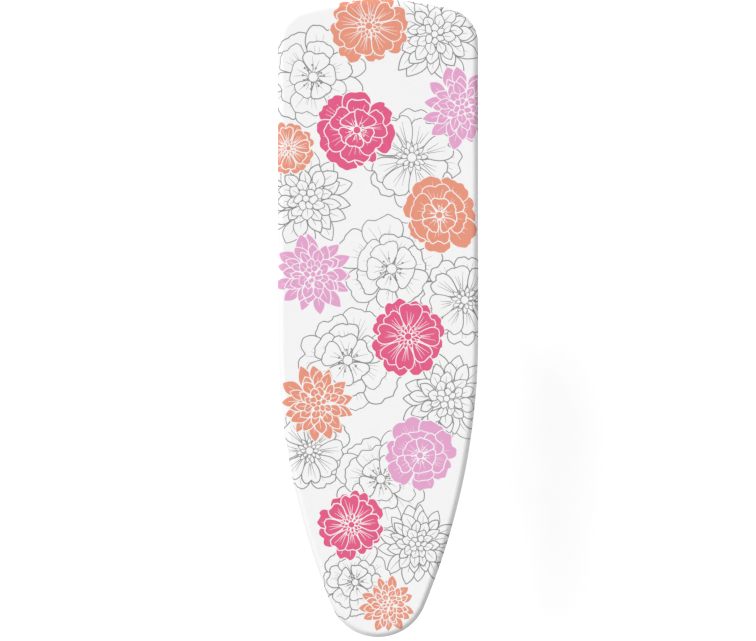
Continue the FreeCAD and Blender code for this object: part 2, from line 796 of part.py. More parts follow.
def clamp_spring():
    """The coil on the rod that pushes the plates towards the nose, at its length with the clamp released."""
    start_y = clamp_y + clamp_plate_thickness + spring_wire
    end_y = crossbar_y - pocket_rear - spring_wire
    turns = (end_y - start_y) / spring_pitch
    return coil(V(0, start_y, rod_z), Y, spring_radius, spring_wire, spring_pitch, turns)


return_spring_height = return_spring_pitch * return_spring_turns + return_spring_wire
lever_pin_head_top_z = lever_bottom_z - slide_gap - return_spring_height


def lever_pin():
    """The shoulder screw that the release lever turns on."""
    head_top = V(lever_pin_x, lever_pin_y, lever_pin_head_top_z)
    head = dome(head_top, Z * -1, lever_pin_head_radius, lever_pin_head_height)
    tip = V(lever_pin_x, lever_pin_y, block_bottom_z + lever_pin_depth)
    return head.fuse(rod(head_top, tip, lever_pin_radius))


def lever_return_spring():
    """The torsion coil between the lever and the pin's head."""
    low_z = lever_pin_head_top_z + slide_gap / 2 + return_spring_wire / 2
    radius = lever_pin_radius + return_spring_wire
    start = V(lever_pin_x, lever_pin_y, low_z)
    return coil(start, Z, radius, return_spring_wire, return_spring_pitch, return_spring_turns)


def release_lever():
    """A flat steel lever across the underside: a hub on the pin, the clamp's post and the grip's tang."""
    hub_centre = V(lever_pin_x, lever_pin_y, lever_bottom_z)
    post_centre = V(lever_post_x, lever_post_y, lever_bottom_z)
    hub = Part.makeCylinder(lever_hub_radius, lever_thickness, hub_centre)
    arm = box(
        lever_pin_x, grip_outer_x - grip_corner_round,
        lever_pin_y - lever_width / 2, lever_pin_y + lever_width / 2,
        lever_bottom_z, lever_top_z,
    )
    toe_half = lever_post_radius + lever_toe_margin
    toe = Part.makeCylinder(toe_half, lever_thickness, post_centre)
    along = post_centre - hub_centre
    across = V(-along.y, along.x, 0).normalize() * toe_half
    corners = [hub_centre + across, post_centre + across, post_centre - across, hub_centre - across]
    web = Part.Face(Part.makePolygon(corners + corners[:1])).extrude(Z * lever_thickness)
    post = rod(post_centre, V(lever_post_x, lever_post_y, rod_z + lever_post_above_rod), lever_post_radius)
    lever = hub.fuse(arm).fuse(toe).fuse(web).fuse(post).removeSplitter()
    return lever.cut(rod(hub_centre, hub_centre + Z * lever_thickness, lever_pin_radius + running_gap))


def lever_grip():
    """A moulded paddle on the lever's end, scooped for the fingers on the side towards the nose."""
    top_z = lever_top_z + grip_skin
    low_y, high_y = lever_pin_y - grip_length / 2, lever_pin_y + grip_length / 2
    paddle = box(grip_inner_x, grip_outer_x, low_y, high_y, top_z - grip_height, top_z)
    upright = [e for e in paddle.Edges if abs(e.BoundBox.ZMax - e.BoundBox.ZMin) > grip_height / 2]
    paddle = paddle.makeFillet(grip_corner_round, upright)
    paddle = paddle.makeFillet(grip_round, edges_at(paddle, top_z - grip_height))
    scoop_bottom = V((grip_inner_x + grip_outer_x) / 2, low_y - grip_width + grip_scoop, 0)
    scoop_bottom.z = top_z - grip_height - overcut
    scoop_top = V(scoop_bottom.x, scoop_bottom.y, lever_bottom_z - grip_scoop_roof)
    scoop = rod(scoop_bottom, scoop_top, grip_width)
    paddle = paddle.cut(scoop)
    tang = box(
        grip_inner_x - overcut, grip_outer_x - grip_corner_round + snug_gap,
        lever_pin_y - lever_width / 2 - snug_gap, lever_pin_y + lever_width / 2 + snug_gap,
        lever_bottom_z - snug_gap, lever_top_z,
    )
    return paddle.cut(tang)


# --------------------------------------------------------------------------- every piece, by name
def pieces():
    made = {
        "fabric_cover": fabric_cover(),
        "hem_elastic": hem_elastic(),
        "foam_pad": foam_pad(),
        "mesh_top": mesh_top(),
        "rim_tube": rim_tube(),
        "guide_rail": guide_rail(),
        "rail_block_front": rail_end_block(rail_front_y),
        "rail_block_rear": rail_end_block(rail_rear_y - end_block_length),
        "guide_rod": guide_rod(),
        "outer_foot_bar": foot_bar(outer_foot, outer_foot_half_length),
        "inner_foot_bar": foot_bar(inner_foot, inner_foot_half_length),
        "inner_leg_crossbar": between_tubes(
            inner_top, inner_leg_half_spacing, crossbar_diameter / 2,
            leg_tube_wall, inner_top, inner_direction,
        ),
        "inner_leg_strut": between_tubes(
            inner_foot - inner_direction * strut_from_foot,
            inner_leg_half_spacing, strut_diameter / 2, leg_tube_wall, inner_top, inner_direction,
        ),
        "slide_carriage": slide_carriage(),
        "bearing_cap": bearing_cap(),
        "cap_screws": cap_screws(),
        "clamp_plate_front": clamp_plate(-1),
        "clamp_plate_rear": clamp_plate(0),
        "clamp_spring": clamp_spring(),
        "lever_pin": lever_pin(),
        "lever_return_spring": lever_return_spring(),
        "release_lever": release_lever(),
        "lever_grip": lever_grip(),
    }
    made["brace_pivot"] = pivot_brace(pivot_y, pivot_brace_width)
    for name, (y, width) in brace_places.items():
        made[name] = brace(y, width)
    bush_hole = bush_radius + snug_gap
    for side, sign in SIDES:
        outer_x, inner_x = sign * outer_leg_half_spacing, sign * inner_leg_half_spacing
        made["pivot_bracket_" + side] = pivot_bracket(sign)
        made["bracket_rivets_" + side] = bracket_rivets(sign)
        made["pivot_bolt_" + side] = bolt(outer_top, sign, pivot_head_x, pivot_nut_x)
        made["pivot_nut_" + side] = cap_nut(outer_top, sign, pivot_nut_x)
        made["pivot_bush_" + side] = pivot_bush(sign)
        made["outer_leg_tube_" + side] = leg_tube(outer_top, outer_direction, outer_x, bush_hole, snug_gap)
        made["outer_tube_plug_" + side] = end_plug(outer_top, outer_direction, outer_x, bush_hole)
        made["outer_foot_cap_" + side] = foot_cap(outer_foot, outer_foot_half_length, sign)
        made["crossing_bolt_" + side] = bolt(crossing, sign, crossing_head_x, crossing_nut_x)
        made["crossing_nut_" + side] = cap_nut(crossing, sign, crossing_nut_x)
        made["crossing_spacer_" + side] = crossing_spacer(sign)
        made["inner_leg_tube_" + side] = leg_tube(inner_top, inner_direction, inner_x, 0, running_gap)
        made["inner_tube_plug_" + side] = end_plug(inner_top, inner_direction, inner_x, snug_gap)
        made["inner_foot_cap_" + side] = foot_cap(inner_foot, inner_foot_half_length, sign)
    return made


os.makedirs("parts", exist_ok=True)
for name, shape in pieces().items():
    shape.exportStep("parts/" + name + ".step")
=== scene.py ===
"""The looks of the ironing board: its printed cover, felt pad, stitches, weld beads and materials.

The cover is made as it is sewn: a flat cut of cotton, printed and then pulled over the edge by
the elastic in its hem. The flat cut is a plane whose points map to the board by their distance
from the line where the flat top ends. The print is drawn in that plane, so it runs on over the
edge. Lengths are in millimetres, except in the materials and the scene, where they are in metres.
"""
import json
import math
import random

import bmesh
import bpy
import numpy as np
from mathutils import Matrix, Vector
from mathutils.geometry import delaunay_2d_cdt


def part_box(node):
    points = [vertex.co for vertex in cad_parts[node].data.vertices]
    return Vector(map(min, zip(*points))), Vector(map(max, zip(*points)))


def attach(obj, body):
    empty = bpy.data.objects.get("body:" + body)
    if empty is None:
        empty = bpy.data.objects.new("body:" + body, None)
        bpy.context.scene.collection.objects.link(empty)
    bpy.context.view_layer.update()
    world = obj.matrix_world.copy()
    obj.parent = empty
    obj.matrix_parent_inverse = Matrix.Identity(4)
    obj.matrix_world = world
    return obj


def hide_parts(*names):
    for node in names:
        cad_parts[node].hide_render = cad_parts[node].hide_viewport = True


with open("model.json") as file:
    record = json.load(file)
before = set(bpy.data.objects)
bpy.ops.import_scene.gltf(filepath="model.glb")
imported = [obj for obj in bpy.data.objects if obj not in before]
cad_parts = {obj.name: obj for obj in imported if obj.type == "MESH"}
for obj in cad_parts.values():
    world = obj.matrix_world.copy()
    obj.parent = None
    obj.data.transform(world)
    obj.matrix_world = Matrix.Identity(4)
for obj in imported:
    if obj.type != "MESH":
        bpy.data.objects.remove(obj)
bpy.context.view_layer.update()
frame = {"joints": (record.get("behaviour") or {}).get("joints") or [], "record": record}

MM = 0.001


# ---------------- sizes
cover_low, cover_high = (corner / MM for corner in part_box("fabric_cover"))
elastic_low, elastic_high = (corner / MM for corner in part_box("hem_elastic"))
sheet_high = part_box("mesh_top")[1] / MM

HALF_WIDTH = cover_high.x
HEEL_Y = round(cover_high.y)
NOSE_Y = round(cover_low.y)
TOP_Z = cover_high.z
HEM_Z = (elastic_low.z + elastic_high.z) / 2
HEM_INSET = HALF_WIDTH - elastic_high.x + (elastic_high.z - elastic_low.z) / 2
SHEET_TOP_Z = sheet_high.z

NOSE_RADIUS = 110.0
HEEL_RADIUS = 610.0
CORNER_RADIUS = 77.0
STRAIGHT_TO = 738.0
SLOPE = math.radians(45)        # how steep the padded edge gets between the top and the side
CROWN_RADIUS = 12.0             # bend where the flat top ends
RAMP = 7.4                      # straight run down to the sheet's rim
RIM_BEND = 3.4                  # bend over that rim to the side
BOTTOM_ROUND = 8.0              # bend from the side to the lip
HEM_RADIUS = 3.2
HEM_TURN = math.radians(338)    # how far the cloth goes round the elastic
LIP_Z = HEM_Z - 0.5


# ---------------- the board's edge
SIDE_Y = HEEL_Y - STRAIGHT_TO
NOSE_CENTRE = np.array([0.0, NOSE_Y + NOSE_RADIUS])
DROP = SIDE_Y - NOSE_CENTRE[1]
SIDE_RADIUS = (HALF_WIDTH ** 2 - NOSE_RADIUS ** 2 + DROP ** 2) / (2 * (HALF_WIDTH - NOSE_RADIUS))
SIDE_CENTRE = np.array([HALF_WIDTH - SIDE_RADIUS, SIDE_Y])
HEEL_CENTRE = np.array([0.0, HEEL_Y - HEEL_RADIUS])
CORNER_X = HALF_WIDTH - CORNER_RADIUS
CORNER_RISE = math.sqrt((HEEL_RADIUS - CORNER_RADIUS) ** 2 - CORNER_X ** 2)
CORNER_CENTRE = np.array([CORNER_X, HEEL_CENTRE[1] + CORNER_RISE])
HEEL_ANGLE = math.atan2(CORNER_RISE, CORNER_X)
NOSE_ANGLE = math.atan2(NOSE_CENTRE[1] - SIDE_CENTRE[1], -SIDE_CENTRE[0])

# Lengths of the stretches of half the edge, from the middle of the nose to that of the heel
LENGTHS = [
    NOSE_RADIUS * (math.pi / 2 + NOSE_ANGLE),
    SIDE_RADIUS * -NOSE_ANGLE,
    CORNER_CENTRE[1] - SIDE_Y,
    CORNER_RADIUS * HEEL_ANGLE,
    HEEL_RADIUS * (math.pi / 2 - HEEL_ANGLE),
]
STARTS = np.concatenate([[0.0], np.cumsum(LENGTHS)])
HALF_EDGE = STARTS[-1]
PUCKERS = [1.0, 0.45, 0.30, 1.0, 0.5]  # how strongly each stretch gathers


def on_edge(points):
    """For points of the flat cut: distance outside the board's edge, outward normal and place.

    The place is the length along the edge, from -HALF_EDGE to HALF_EDGE, with 0 at the tip of the
    nose and the left half negative."""
    x, y = np.abs(points[:, 0]), points[:, 1]
    side = np.where(points[:, 0] < 0, -1.0, 1.0)
    p = np.stack([x, y], 1)

    def from_arc(centre, radius):
        v = p - centre
        r = np.maximum(np.hypot(v[:, 0], v[:, 1]), 1e-9)
        return r - radius, v / r[:, None], np.arctan2(v[:, 1], v[:, 0])

    nose, side_arc = from_arc(NOSE_CENTRE, NOSE_RADIUS), from_arc(SIDE_CENTRE, SIDE_RADIUS)
    corner, heel = from_arc(CORNER_CENTRE, CORNER_RADIUS), from_arc(HEEL_CENTRE, HEEL_RADIUS)
    is_heel = (heel[2] > HEEL_ANGLE) & (y > 0)
    is_corner = ~is_heel & (y >= CORNER_CENTRE[1])
    is_nose = ~is_heel & ~is_corner & (y < SIDE_Y) & (side_arc[2] < NOSE_ANGLE)
    is_side = ~is_heel & ~is_corner & ~is_nose & (y < SIDE_Y)
    cases = [is_nose, is_side, is_corner, is_heel]
    arcs = [nose, side_arc, corner, heel]
    d = np.select(cases, [arc[0] for arc in arcs], x - HALF_WIDTH)
    nx = np.select(cases, [arc[1][:, 0] for arc in arcs], 1.0)
    ny = np.select(cases, [arc[1][:, 1] for arc in arcs], 0.0)
    s = np.select(
        cases,
        [
            NOSE_RADIUS * (nose[2] + math.pi / 2),
            STARTS[1] + SIDE_RADIUS * (side_arc[2] - NOSE_ANGLE),
            STARTS[3] + CORNER_RADIUS * corner[2],
            STARTS[4] + HEEL_RADIUS * (heel[2] - HEEL_ANGLE),
        ],
        STARTS[2] + y - SIDE_Y,
    )
    return d, np.stack([nx * side, ny], 1), s * side


def edge_points(inset, step):
    """The edge moved in by inset (or out, if negative), as points about step apart, once round."""
    half = []
    spans = [
        (NOSE_CENTRE, NOSE_RADIUS, -math.pi / 2, NOSE_ANGLE),
        (SIDE_CENTRE, SIDE_RADIUS, NOSE_ANGLE, 0.0),
        None,
        (CORNER_CENTRE, CORNER_RADIUS, 0.0, HEEL_ANGLE),
        (HEEL_CENTRE, HEEL_RADIUS, HEEL_ANGLE, math.pi / 2),
    ]
    for span, length in zip(spans, LENGTHS):
        if span is None:
            count = max(2, round(length / step))
            for k in range(count):
                half.append((HALF_WIDTH - inset, SIDE_Y + length * k / count))
            continue
        centre, radius, a0, a1 = span
        radius = radius - inset
        count = max(2, round(radius * (a1 - a0) / step))
        for k in range(count):
            a = a0 + (a1 - a0) * k / count
            half.append((centre[0] + radius * math.cos(a), centre[1] + radius * math.sin(a)))
    heel = (0.0, HEEL_Y - inset)
    left = [(-x, y) for x, y in reversed(half[1:])]
    return np.array(half + [heel] + left)


# ---------------- the cover's section
SINE, COSINE = math.sin(SLOPE), math.cos(SLOPE)
CROWN = CROWN_RADIUS * SLOPE
RIM_TURN = math.pi / 2 - SLOPE
ROLL = CROWN + RAMP + RIM_BEND * RIM_TURN
ROLL_WIDTH = CROWN_RADIUS * SINE + RAMP * COSINE + RIM_BEND * (1 - SINE)
ROLL_HEIGHT = CROWN_RADIUS * (1 - COSINE) + RAMP * SINE + RIM_BEND * COSINE
SIDE_HEIGHT = (TOP_Z - ROLL_HEIGHT) - (LIP_Z + BOTTOM_ROUND)
TURN = BOTTOM_ROUND * math.pi / 2
LIP = HEM_INSET - BOTTOM_ROUND - HEM_RADIUS

# Lengths along the cloth past the flat top's edge line: where each stretch starts, and how far
# the flat cut reaches
SIDE_START, TURN_START, LIP_START, HEM_START, CUT_REACH = np.cumsum(
    [ROLL, SIDE_HEIGHT, TURN, LIP, HEM_RADIUS * HEM_TURN]
)


def section(d):
    """Offset outward from the flat top's edge line, and height, at a length d past that line."""
    crown = np.clip(d, 0, CROWN) / CROWN_RADIUS
    ramp = np.clip(d - CROWN, 0, RAMP)
    rim = SLOPE + np.clip(d - CROWN - RAMP, 0, RIM_BEND * RIM_TURN) / RIM_BEND
    down = np.clip(d - SIDE_START, 0, SIDE_HEIGHT)
    turn = np.clip(d - TURN_START, 0, TURN) / BOTTOM_ROUND
    lip = np.clip(d - LIP_START, 0, LIP)
    out = CROWN_RADIUS * np.sin(crown) + ramp * COSINE + RIM_BEND * (np.sin(rim) - SINE)
    out = out - BOTTOM_ROUND * (1 - np.cos(turn)) - lip
    fall = CROWN_RADIUS * (1 - np.cos(crown)) + ramp * SINE + RIM_BEND * (COSINE - np.cos(rim))
    z = TOP_Z - fall - down - BOTTOM_ROUND * np.sin(turn)
    hem = np.clip(d - HEM_START, 0, None) / HEM_RADIUS
    in_hem = d > HEM_START
    start = math.asin((HEM_Z - LIP_Z) / HEM_RADIUS)
    centre = ROLL_WIDTH - HEM_INSET
    out = np.where(in_hem, centre + HEM_RADIUS * np.cos(start + hem), out)
    z = np.where(in_hem, HEM_Z - HEM_RADIUS * np.sin(start + hem), z)
    return out, z


def smoothstep(x):
    x = np.clip(x, 0, 1)
    return x * x * (3 - 2 * x)


# Gathers: the elastic pulls the cloth into folds, deepest where the edge bends most
GATHER_SEED = 41
BLEND = 35                      # places of the table over which the strength changes, each way
rng = random.Random(GATHER_SEED)
TABLE_S = np.linspace(-HALF_EDGE, HALF_EDGE, 4001)
stretch = np.searchsorted(STARTS, np.abs(TABLE_S), "right") - 1
strength = np.array(PUCKERS)[np.minimum(stretch, len(PUCKERS) - 1)]
kernel = np.hanning(2 * BLEND + 1)
around = np.concatenate([strength[-BLEND:], strength, strength[:BLEND]])
STRENGTH = np.convolve(around, kernel / kernel.sum(), "valid")


def random_wave(wavelength, irregular, crease):
    """A wave along the edge whose folds vary in width and height.

    A low crease makes the valleys sharp."""
    count = round(2 * HALF_EDGE / wavelength)
    ends = np.cumsum([rng.uniform(1 - irregular, 1 + irregular) for _ in range(count)])
    ends = np.concatenate([[0.0], ends]) * (2 * HALF_EDGE / ends[-1]) - HALF_EDGE
    heights = np.array([rng.uniform(0.4, 1.0) for _ in range(count)])
    phase = np.interp(TABLE_S, ends, np.arange(count + 1))
    height = heights[np.minimum(phase.astype(int), count - 1)]
    return np.abs(np.sin(math.pi * phase)) ** crease * height


FOLDS = random_wave(wavelength=19.0, irregular=0.5, crease=0.8)
FINE_FOLDS = random_wave(wavelength=7.5, irregular=0.4, crease=1.0)
SLOW, FAST = 0.011, 0.03        # the felt's waves, in radians to a millimetre
SWELLS = [
    (rng.uniform(SLOW, FAST), rng.uniform(SLOW, FAST), rng.uniform(0, 6.28))
    for _ in range(5)
]


def swell(points):
    """The slight unevenness of the felt under the flat top."""
    total = np.zeros(len(points))
    for kx, ky, phase in SWELLS:
        total += np.sin(points[:, 0] * kx + points[:, 1] * ky + phase)
    return total / len(SWELLS)


SMOOTH_SIDE = 2.0               # the folds begin this far down the side
FOLD_OUT, FOLD_DOWN = 0.7, 3.8  # how far a full fold stands out, and hangs from the lip
HEM_FADE = 5.0                  # the folds end over this length before the hem
HEM_OUT, HEM_OUT_REST = 0.7, 0.4  # a full ruffle of the hem, and the share that shows none
HEM_DOWN, HEM_DOWN_REST = 0.8, 0.35  # the same downwards, the rest being a length
FLAT_FROM = 45.0                # from the edge line to where the felt's swell shows in full
SWELL, SINK = 0.35, 0.2         # the swell's height, and how far the middle lies under the edge


def cover_place(points):
    """Where points of the flat cut lie on the board."""
    d, normal, s = on_edge(points)
    d = d + ROLL_WIDTH
    out, z = section(np.maximum(d, 0))
    folds = np.interp(s, TABLE_S, FOLDS) * np.interp(s, TABLE_S, STRENGTH)
    fine = np.interp(s, TABLE_S, FINE_FOLDS) * np.interp(s, TABLE_S, STRENGTH)
    past, whole = d - SIDE_START - SMOOTH_SIDE, HEM_START - SIDE_START - SMOOTH_SIDE
    grow = np.clip(past / whole, 0, 1) ** 1.2
    in_hem = smoothstep((d - HEM_START + HEM_FADE) / HEM_FADE)
    lift = grow * (1 - in_hem) * folds
    base = points - normal * np.maximum(d, 0)[:, None]
    # folds stand out from the cloth: sideways on the side, downwards on the lip
    facing = np.clip((d - SIDE_START) / (LIP_START - SIDE_START), 0, 1) * (math.pi / 2)
    out = out + lift * FOLD_OUT * np.cos(facing) + in_hem * (fine - HEM_OUT_REST) * HEM_OUT
    z = z - lift * FOLD_DOWN * np.sin(facing) - in_hem * (fine * HEM_DOWN - HEM_DOWN_REST)
    inside = smoothstep(-d / FLAT_FROM)
    z = z + inside * (SWELL * swell(points) - SINK)
    place = base + normal * np.where(d > 0, out, 0)[:, None]
    return np.column_stack([place, z])


def cover_normals(points):
    """Unit normals of that surface, from its slopes."""
    h = 0.05
    along_x = cover_place(points + [h, 0]) - cover_place(points - [h, 0])
    along_y = cover_place(points + [0, h]) - cover_place(points - [0, h])
    n = np.cross(along_x, along_y)
    return n / np.maximum(np.linalg.norm(n, axis=1), 1e-12)[:, None]


# ---------------- the print
class Print:
    """Flat shapes in painter's order; each is a polygon and an ink."""

    def __init__(self):
        self.shapes = []

    def add(self, polygon, ink):
        polygon = np.asarray(polygon)
        if len(polygon) > 2:
            self.shapes.append((polygon, ink))

    def ink_at(self, points, inks):
        """Which of inks shows at each point: the last shape's over it, or else the first."""
        order = np.argsort(points[:, 1])
        x, y = points[order, 0], points[order, 1]
        shown = np.zeros(len(points), int)
        for polygon, ink in self.shapes:
            low, high = polygon.min(0), polygon.max(0)
            near = slice(*np.searchsorted(y, [low[1], high[1]]))
            here = np.flatnonzero((x[near] > low[0]) & (x[near] < high[0])) + near.start
            if not len(here):
                continue
            px, py = x[here][:, None], y[here][:, None]
            ax, ay = polygon[:, 0], polygon[:, 1]
            bx, by = np.roll(ax, -1), np.roll(ay, -1)
            spans = (ay > py) != (by > py)
            rise = np.where(by == ay, 1.0, by - ay)
            crossings = (spans & (px < (bx - ax) * (py - ay) / rise + ax)).sum(1)
            shown[here[crossings % 2 == 1]] = inks.index(ink)
        result = np.zeros(len(points), int)
        result[order] = shown
        return result


MERGED = 0.03                   # points of the cover's cut closer than this become one


def triangulated(points, edges, tolerance):
    """Triangles that keep edges whole, over all the points."""
    flat, _, triangles, _, _, _ = delaunay_2d_cdt(
        [Vector((float(p[0]), float(p[1]))) for p in points], edges, [], 0, tolerance, False
    )
    return np.array([tuple(v) for v in flat]), np.array(triangles)


def colour_borders(art, inks, reach):
    """The lines where one ink meets another, as points and pairs of them.

    Shapes that lie further than reach past the flat top's edge line are left out."""
    points, edges = [], []
    for polygon, _ in art.shapes:
        if (on_edge(polygon)[0] + ROLL_WIDTH).min() > reach:
            continue
        first, count = len(points), len(polygon)
        points.extend(polygon)
        edges.extend((first + k, first + (k + 1) % count) for k in range(count))
    flat, triangles = triangulated(points, edges, MERGED)
    shown = art.ink_at(flat[triangles].mean(1), inks)
    sides = np.concatenate([triangles[:, pair] for pair in ([0, 1], [1, 2], [2, 0])])
    sides = np.sort(sides, axis=1)
    colour = np.tile(shown, 3)
    order = np.lexsort((sides[:, 1], sides[:, 0]))
    sides, colour = sides[order], colour[order]
    same = np.all(sides[1:] == sides[:-1], axis=1)
    border = sides[:-1][same & (colour[1:] != colour[:-1])]
    used, renumbered = np.unique(border, return_inverse=True)
    return flat[used], renumbered.reshape(-1, 2)


def turned(points, centre, angle):
    c, s = math.cos(angle), math.sin(angle)
    x, y = points[:, 0], points[:, 1]
    return np.column_stack([centre[0] + x * c - y * s, centre[1] + x * s + y * c])


def inset(polygon, width):
    """The polygon drawn in by width, without the corners that would then cross."""
    before, after = np.roll(polygon, 1, axis=0), np.roll(polygon, -1, axis=0)
    x, y = polygon[:, 0], polygon[:, 1]
    turning = math.copysign(1.0, (x * after[:, 1] - after[:, 0] * y).sum())

    def inward(step):
        step = step / np.maximum(np.hypot(step[:, 0], step[:, 1]), 1e-9)[:, None]
        return np.column_stack([-step[:, 1], step[:, 0]]) * turning

    one, two = inward(polygon - before), inward(after - polygon)
    spread = np.maximum(1 + (one * two).sum(1), 0.25)
    moved = polygon + width * (one + two) / spread[:, None]
    edge = after - polygon
    to_edge = moved[:, None, :] - polygon[None, :, :]
    share = np.clip((to_edge * edge).sum(2) / np.maximum((edge ** 2).sum(1), 1e-9), 0, 1)
    gap = np.linalg.norm(to_edge - share[:, :, None] * edge, axis=2).min(1)
    kept = moved[gap > 0.9 * width]
    return kept if len(kept) > 3 else kept[:0]


def blade(base, tip, half, bend, fullness):
    """A pointed petal along +x from base to tip; fullness moves its widest place outwards."""
    count = int(np.clip((tip - base) / 2.8, 9, 20))
    u = (1 - np.cos(np.linspace(0, math.pi, count))) / 2
    u = 0.5 * u + 0.5 * np.linspace(0, 1, count)
    width = half * np.sin(math.pi * u ** fullness) ** 0.85
    x = base + (tip - base) * u
    y = bend * u ** 2 * half
    upper = np.column_stack([x, y + width])
    lower = np.column_stack([x, y - width])[::-1]
    return np.concatenate([upper, lower[1:-1]])


def round_petal(base, tip, half, fullness, ripple, notch, phase):
    """A broad petal along +x, narrow at its base, with a wavy outer edge that may be notched."""
    count = int(np.clip((tip - base + 2 * half) / 3.0, 20, 54))
    turn = np.linspace(0, 2 * math.pi, count, endpoint=False)
    u = (1 - np.cos(turn)) / 2
    side = np.sign(np.sin(turn)) * np.abs(np.sin(turn)) ** 0.82
    y = half * side * u ** fullness
    x = base + (tip - base) * u
    across = y / half
    x = x - (tip - base) * notch * np.exp(-((across / 0.17) ** 2)) * smoothstep(u * 3 - 2)
    wave = np.sin(across * 8.0 + phase) + 0.6 * np.sin(across * 17.0 + 2.3 * phase)
    x = x + ripple * wave * smoothstep(u * 2.2 - 1.0)
    y = y + ripple * 0.8 * np.sin(u * 9.0 + phase) * side * smoothstep(u * 2 - 0.5)
    return np.column_stack([x, y])


def stroke(points, width, taper):
    """A thin line along points, from full width to a share of it."""
    points = np.asarray(points, float)
    step = np.gradient(points, axis=0)
    step /= np.maximum(np.hypot(step[:, 0], step[:, 1]), 1e-9)[:, None]
    normal = np.column_stack([-step[:, 1], step[:, 0]])
    half = np.linspace(width, width * taper, len(points))[:, None] / 2
    return np.concatenate([points + normal * half, (points - normal * half)[::-1]])


def disc(centre, radius, count):
    a = np.linspace(0, 2 * math.pi, count, endpoint=False)
    return np.column_stack([centre[0] + radius * np.cos(a), centre[1] + radius * np.sin(a)])


LINE_WIDTH = 2.1                # of the drawn petals' outlines


class Bloom:
    """One blossom: petals in line ink, filled in fill ink, painted from the outside in."""

    def __init__(self, art, centre, fill, seed):
        self.art, self.centre, self.fill = art, centre, fill
        self.line = "grey" if fill == "white" else "white"
        self.random = random.Random(seed)
        self.vary = self.random.uniform
        self.random.random()  # the first number goes unused

    def ring(self, number, jitter, start=None):
        """Angles of a ring of petals, in the order they are painted."""
        start = self.vary(0, 6.28) if start is None else start
        order = list(range(number))
        self.random.shuffle(order)
        return [start + 2 * math.pi * (k + self.vary(-jitter, jitter)) / number for k in order]

    def petal(self, outline, angle, width):
        self.art.add(turned(outline, self.centre, angle), self.line)
        self.art.add(turned(inset(outline, width), self.centre, angle), self.fill)

    def vein(self, path, angle, width, taper=0.35):
        self.art.add(turned(stroke(path, width, taper), self.centre, angle), self.line)

    def veins(self, base, tip, half, number):
        for k in range(number):
            lean = ((k + 0.5) / number * 2 - 1) * 0.62 + self.vary(-0.1, 0.1)
            u = np.linspace(self.vary(0.12, 0.3), self.vary(0.6, 0.84), 4)
            yield np.column_stack([base + (tip - base) * u, lean * half * u ** 1.3])

    def pen(self):
        return LINE_WIDTH * self.vary(0.85, 1.15)

    def bud(self, radius, width):
        self.art.add(disc(self.centre, radius, 20), self.line)
        self.art.add(disc(self.centre, radius - width, 20), self.fill)


def dahlia(art, centre, radius, fill, seed):
    """Rings of pointed petals that close towards the middle."""
    b = Bloom(art, centre, fill, seed)
    # where each ring's petals end, how many there are and where they start
    rings = [(1.0, 13, 0.30), (0.80, 12, 0.26), (0.60, 10, 0.19), (0.41, 8, 0.11), (0.24, 6, 0.03)]
    for index, (share, number, inner) in enumerate(rings):
        for angle in b.ring(number, 0.18):
            tip = radius * share * b.vary(0.88, 1.06)
            base = radius * inner
            half = math.pi * tip * 0.62 / number * b.vary(1.0, 1.28)
            bend, full = b.vary(-0.8, 0.8), b.vary(0.95, 1.5)
            pen = b.pen() * (1.0 if index < 3 else 0.85)
            b.petal(blade(base, tip, half, bend, full), angle, pen)
            if index < 4:
                u = np.linspace(0.28, b.vary(0.6, 0.82), 4)
                rib = np.column_stack([base + (tip - base) * u, bend * u ** 2 * half])
                b.vein(rib, angle, pen * 0.8)
    b.bud(radius * 0.075, LINE_WIDTH * 0.8)


def anemone(art, centre, radius, fill, seed):
    """Three rings of broad wavy petals round a middle of stamens."""
    b = Bloom(art, centre, fill, seed)
    for share, number, inner in ((1.0, 7, 0.14), (0.74, 6, 0.09), (0.47, 5, 0.05)):
        for angle in b.ring(number, 0.12):
            tip = radius * share * b.vary(0.86, 1.07)
            base = radius * inner
            half = tip * math.sin(math.pi / number) * b.vary(1.05, 1.35)
            fullness, ripple = b.vary(0.45, 0.8), tip * b.vary(0.012, 0.03)
            notch, phase = b.random.choice([0, 0.05, 0.1]), b.vary(0, 6.28)
            b.petal(round_petal(base, tip, half, fullness, ripple, notch, phase), angle, b.pen())
            for path in b.veins(base, tip, half, b.random.choice([3, 4, 5]) if share > 0.5 else 2):
                b.vein(path, angle, LINE_WIDTH * 0.7, 0.3)
    stamens = 11
    for k in range(stamens):
        angle = 2 * math.pi * (k + b.vary(-0.25, 0.25)) / stamens
        reach = radius * b.vary(0.17, 0.23)
        b.vein(np.array([[0, 0], [reach / 2, 0], [reach, 0]]), angle, LINE_WIDTH * 0.5, 0.9)
        tip = turned(np.array([[reach, 0.0]]), centre, angle)[0]
        art.add(disc(tip, radius * 0.02, 8), b.line)
    b.bud(radius * 0.1, LINE_WIDTH * 0.8)


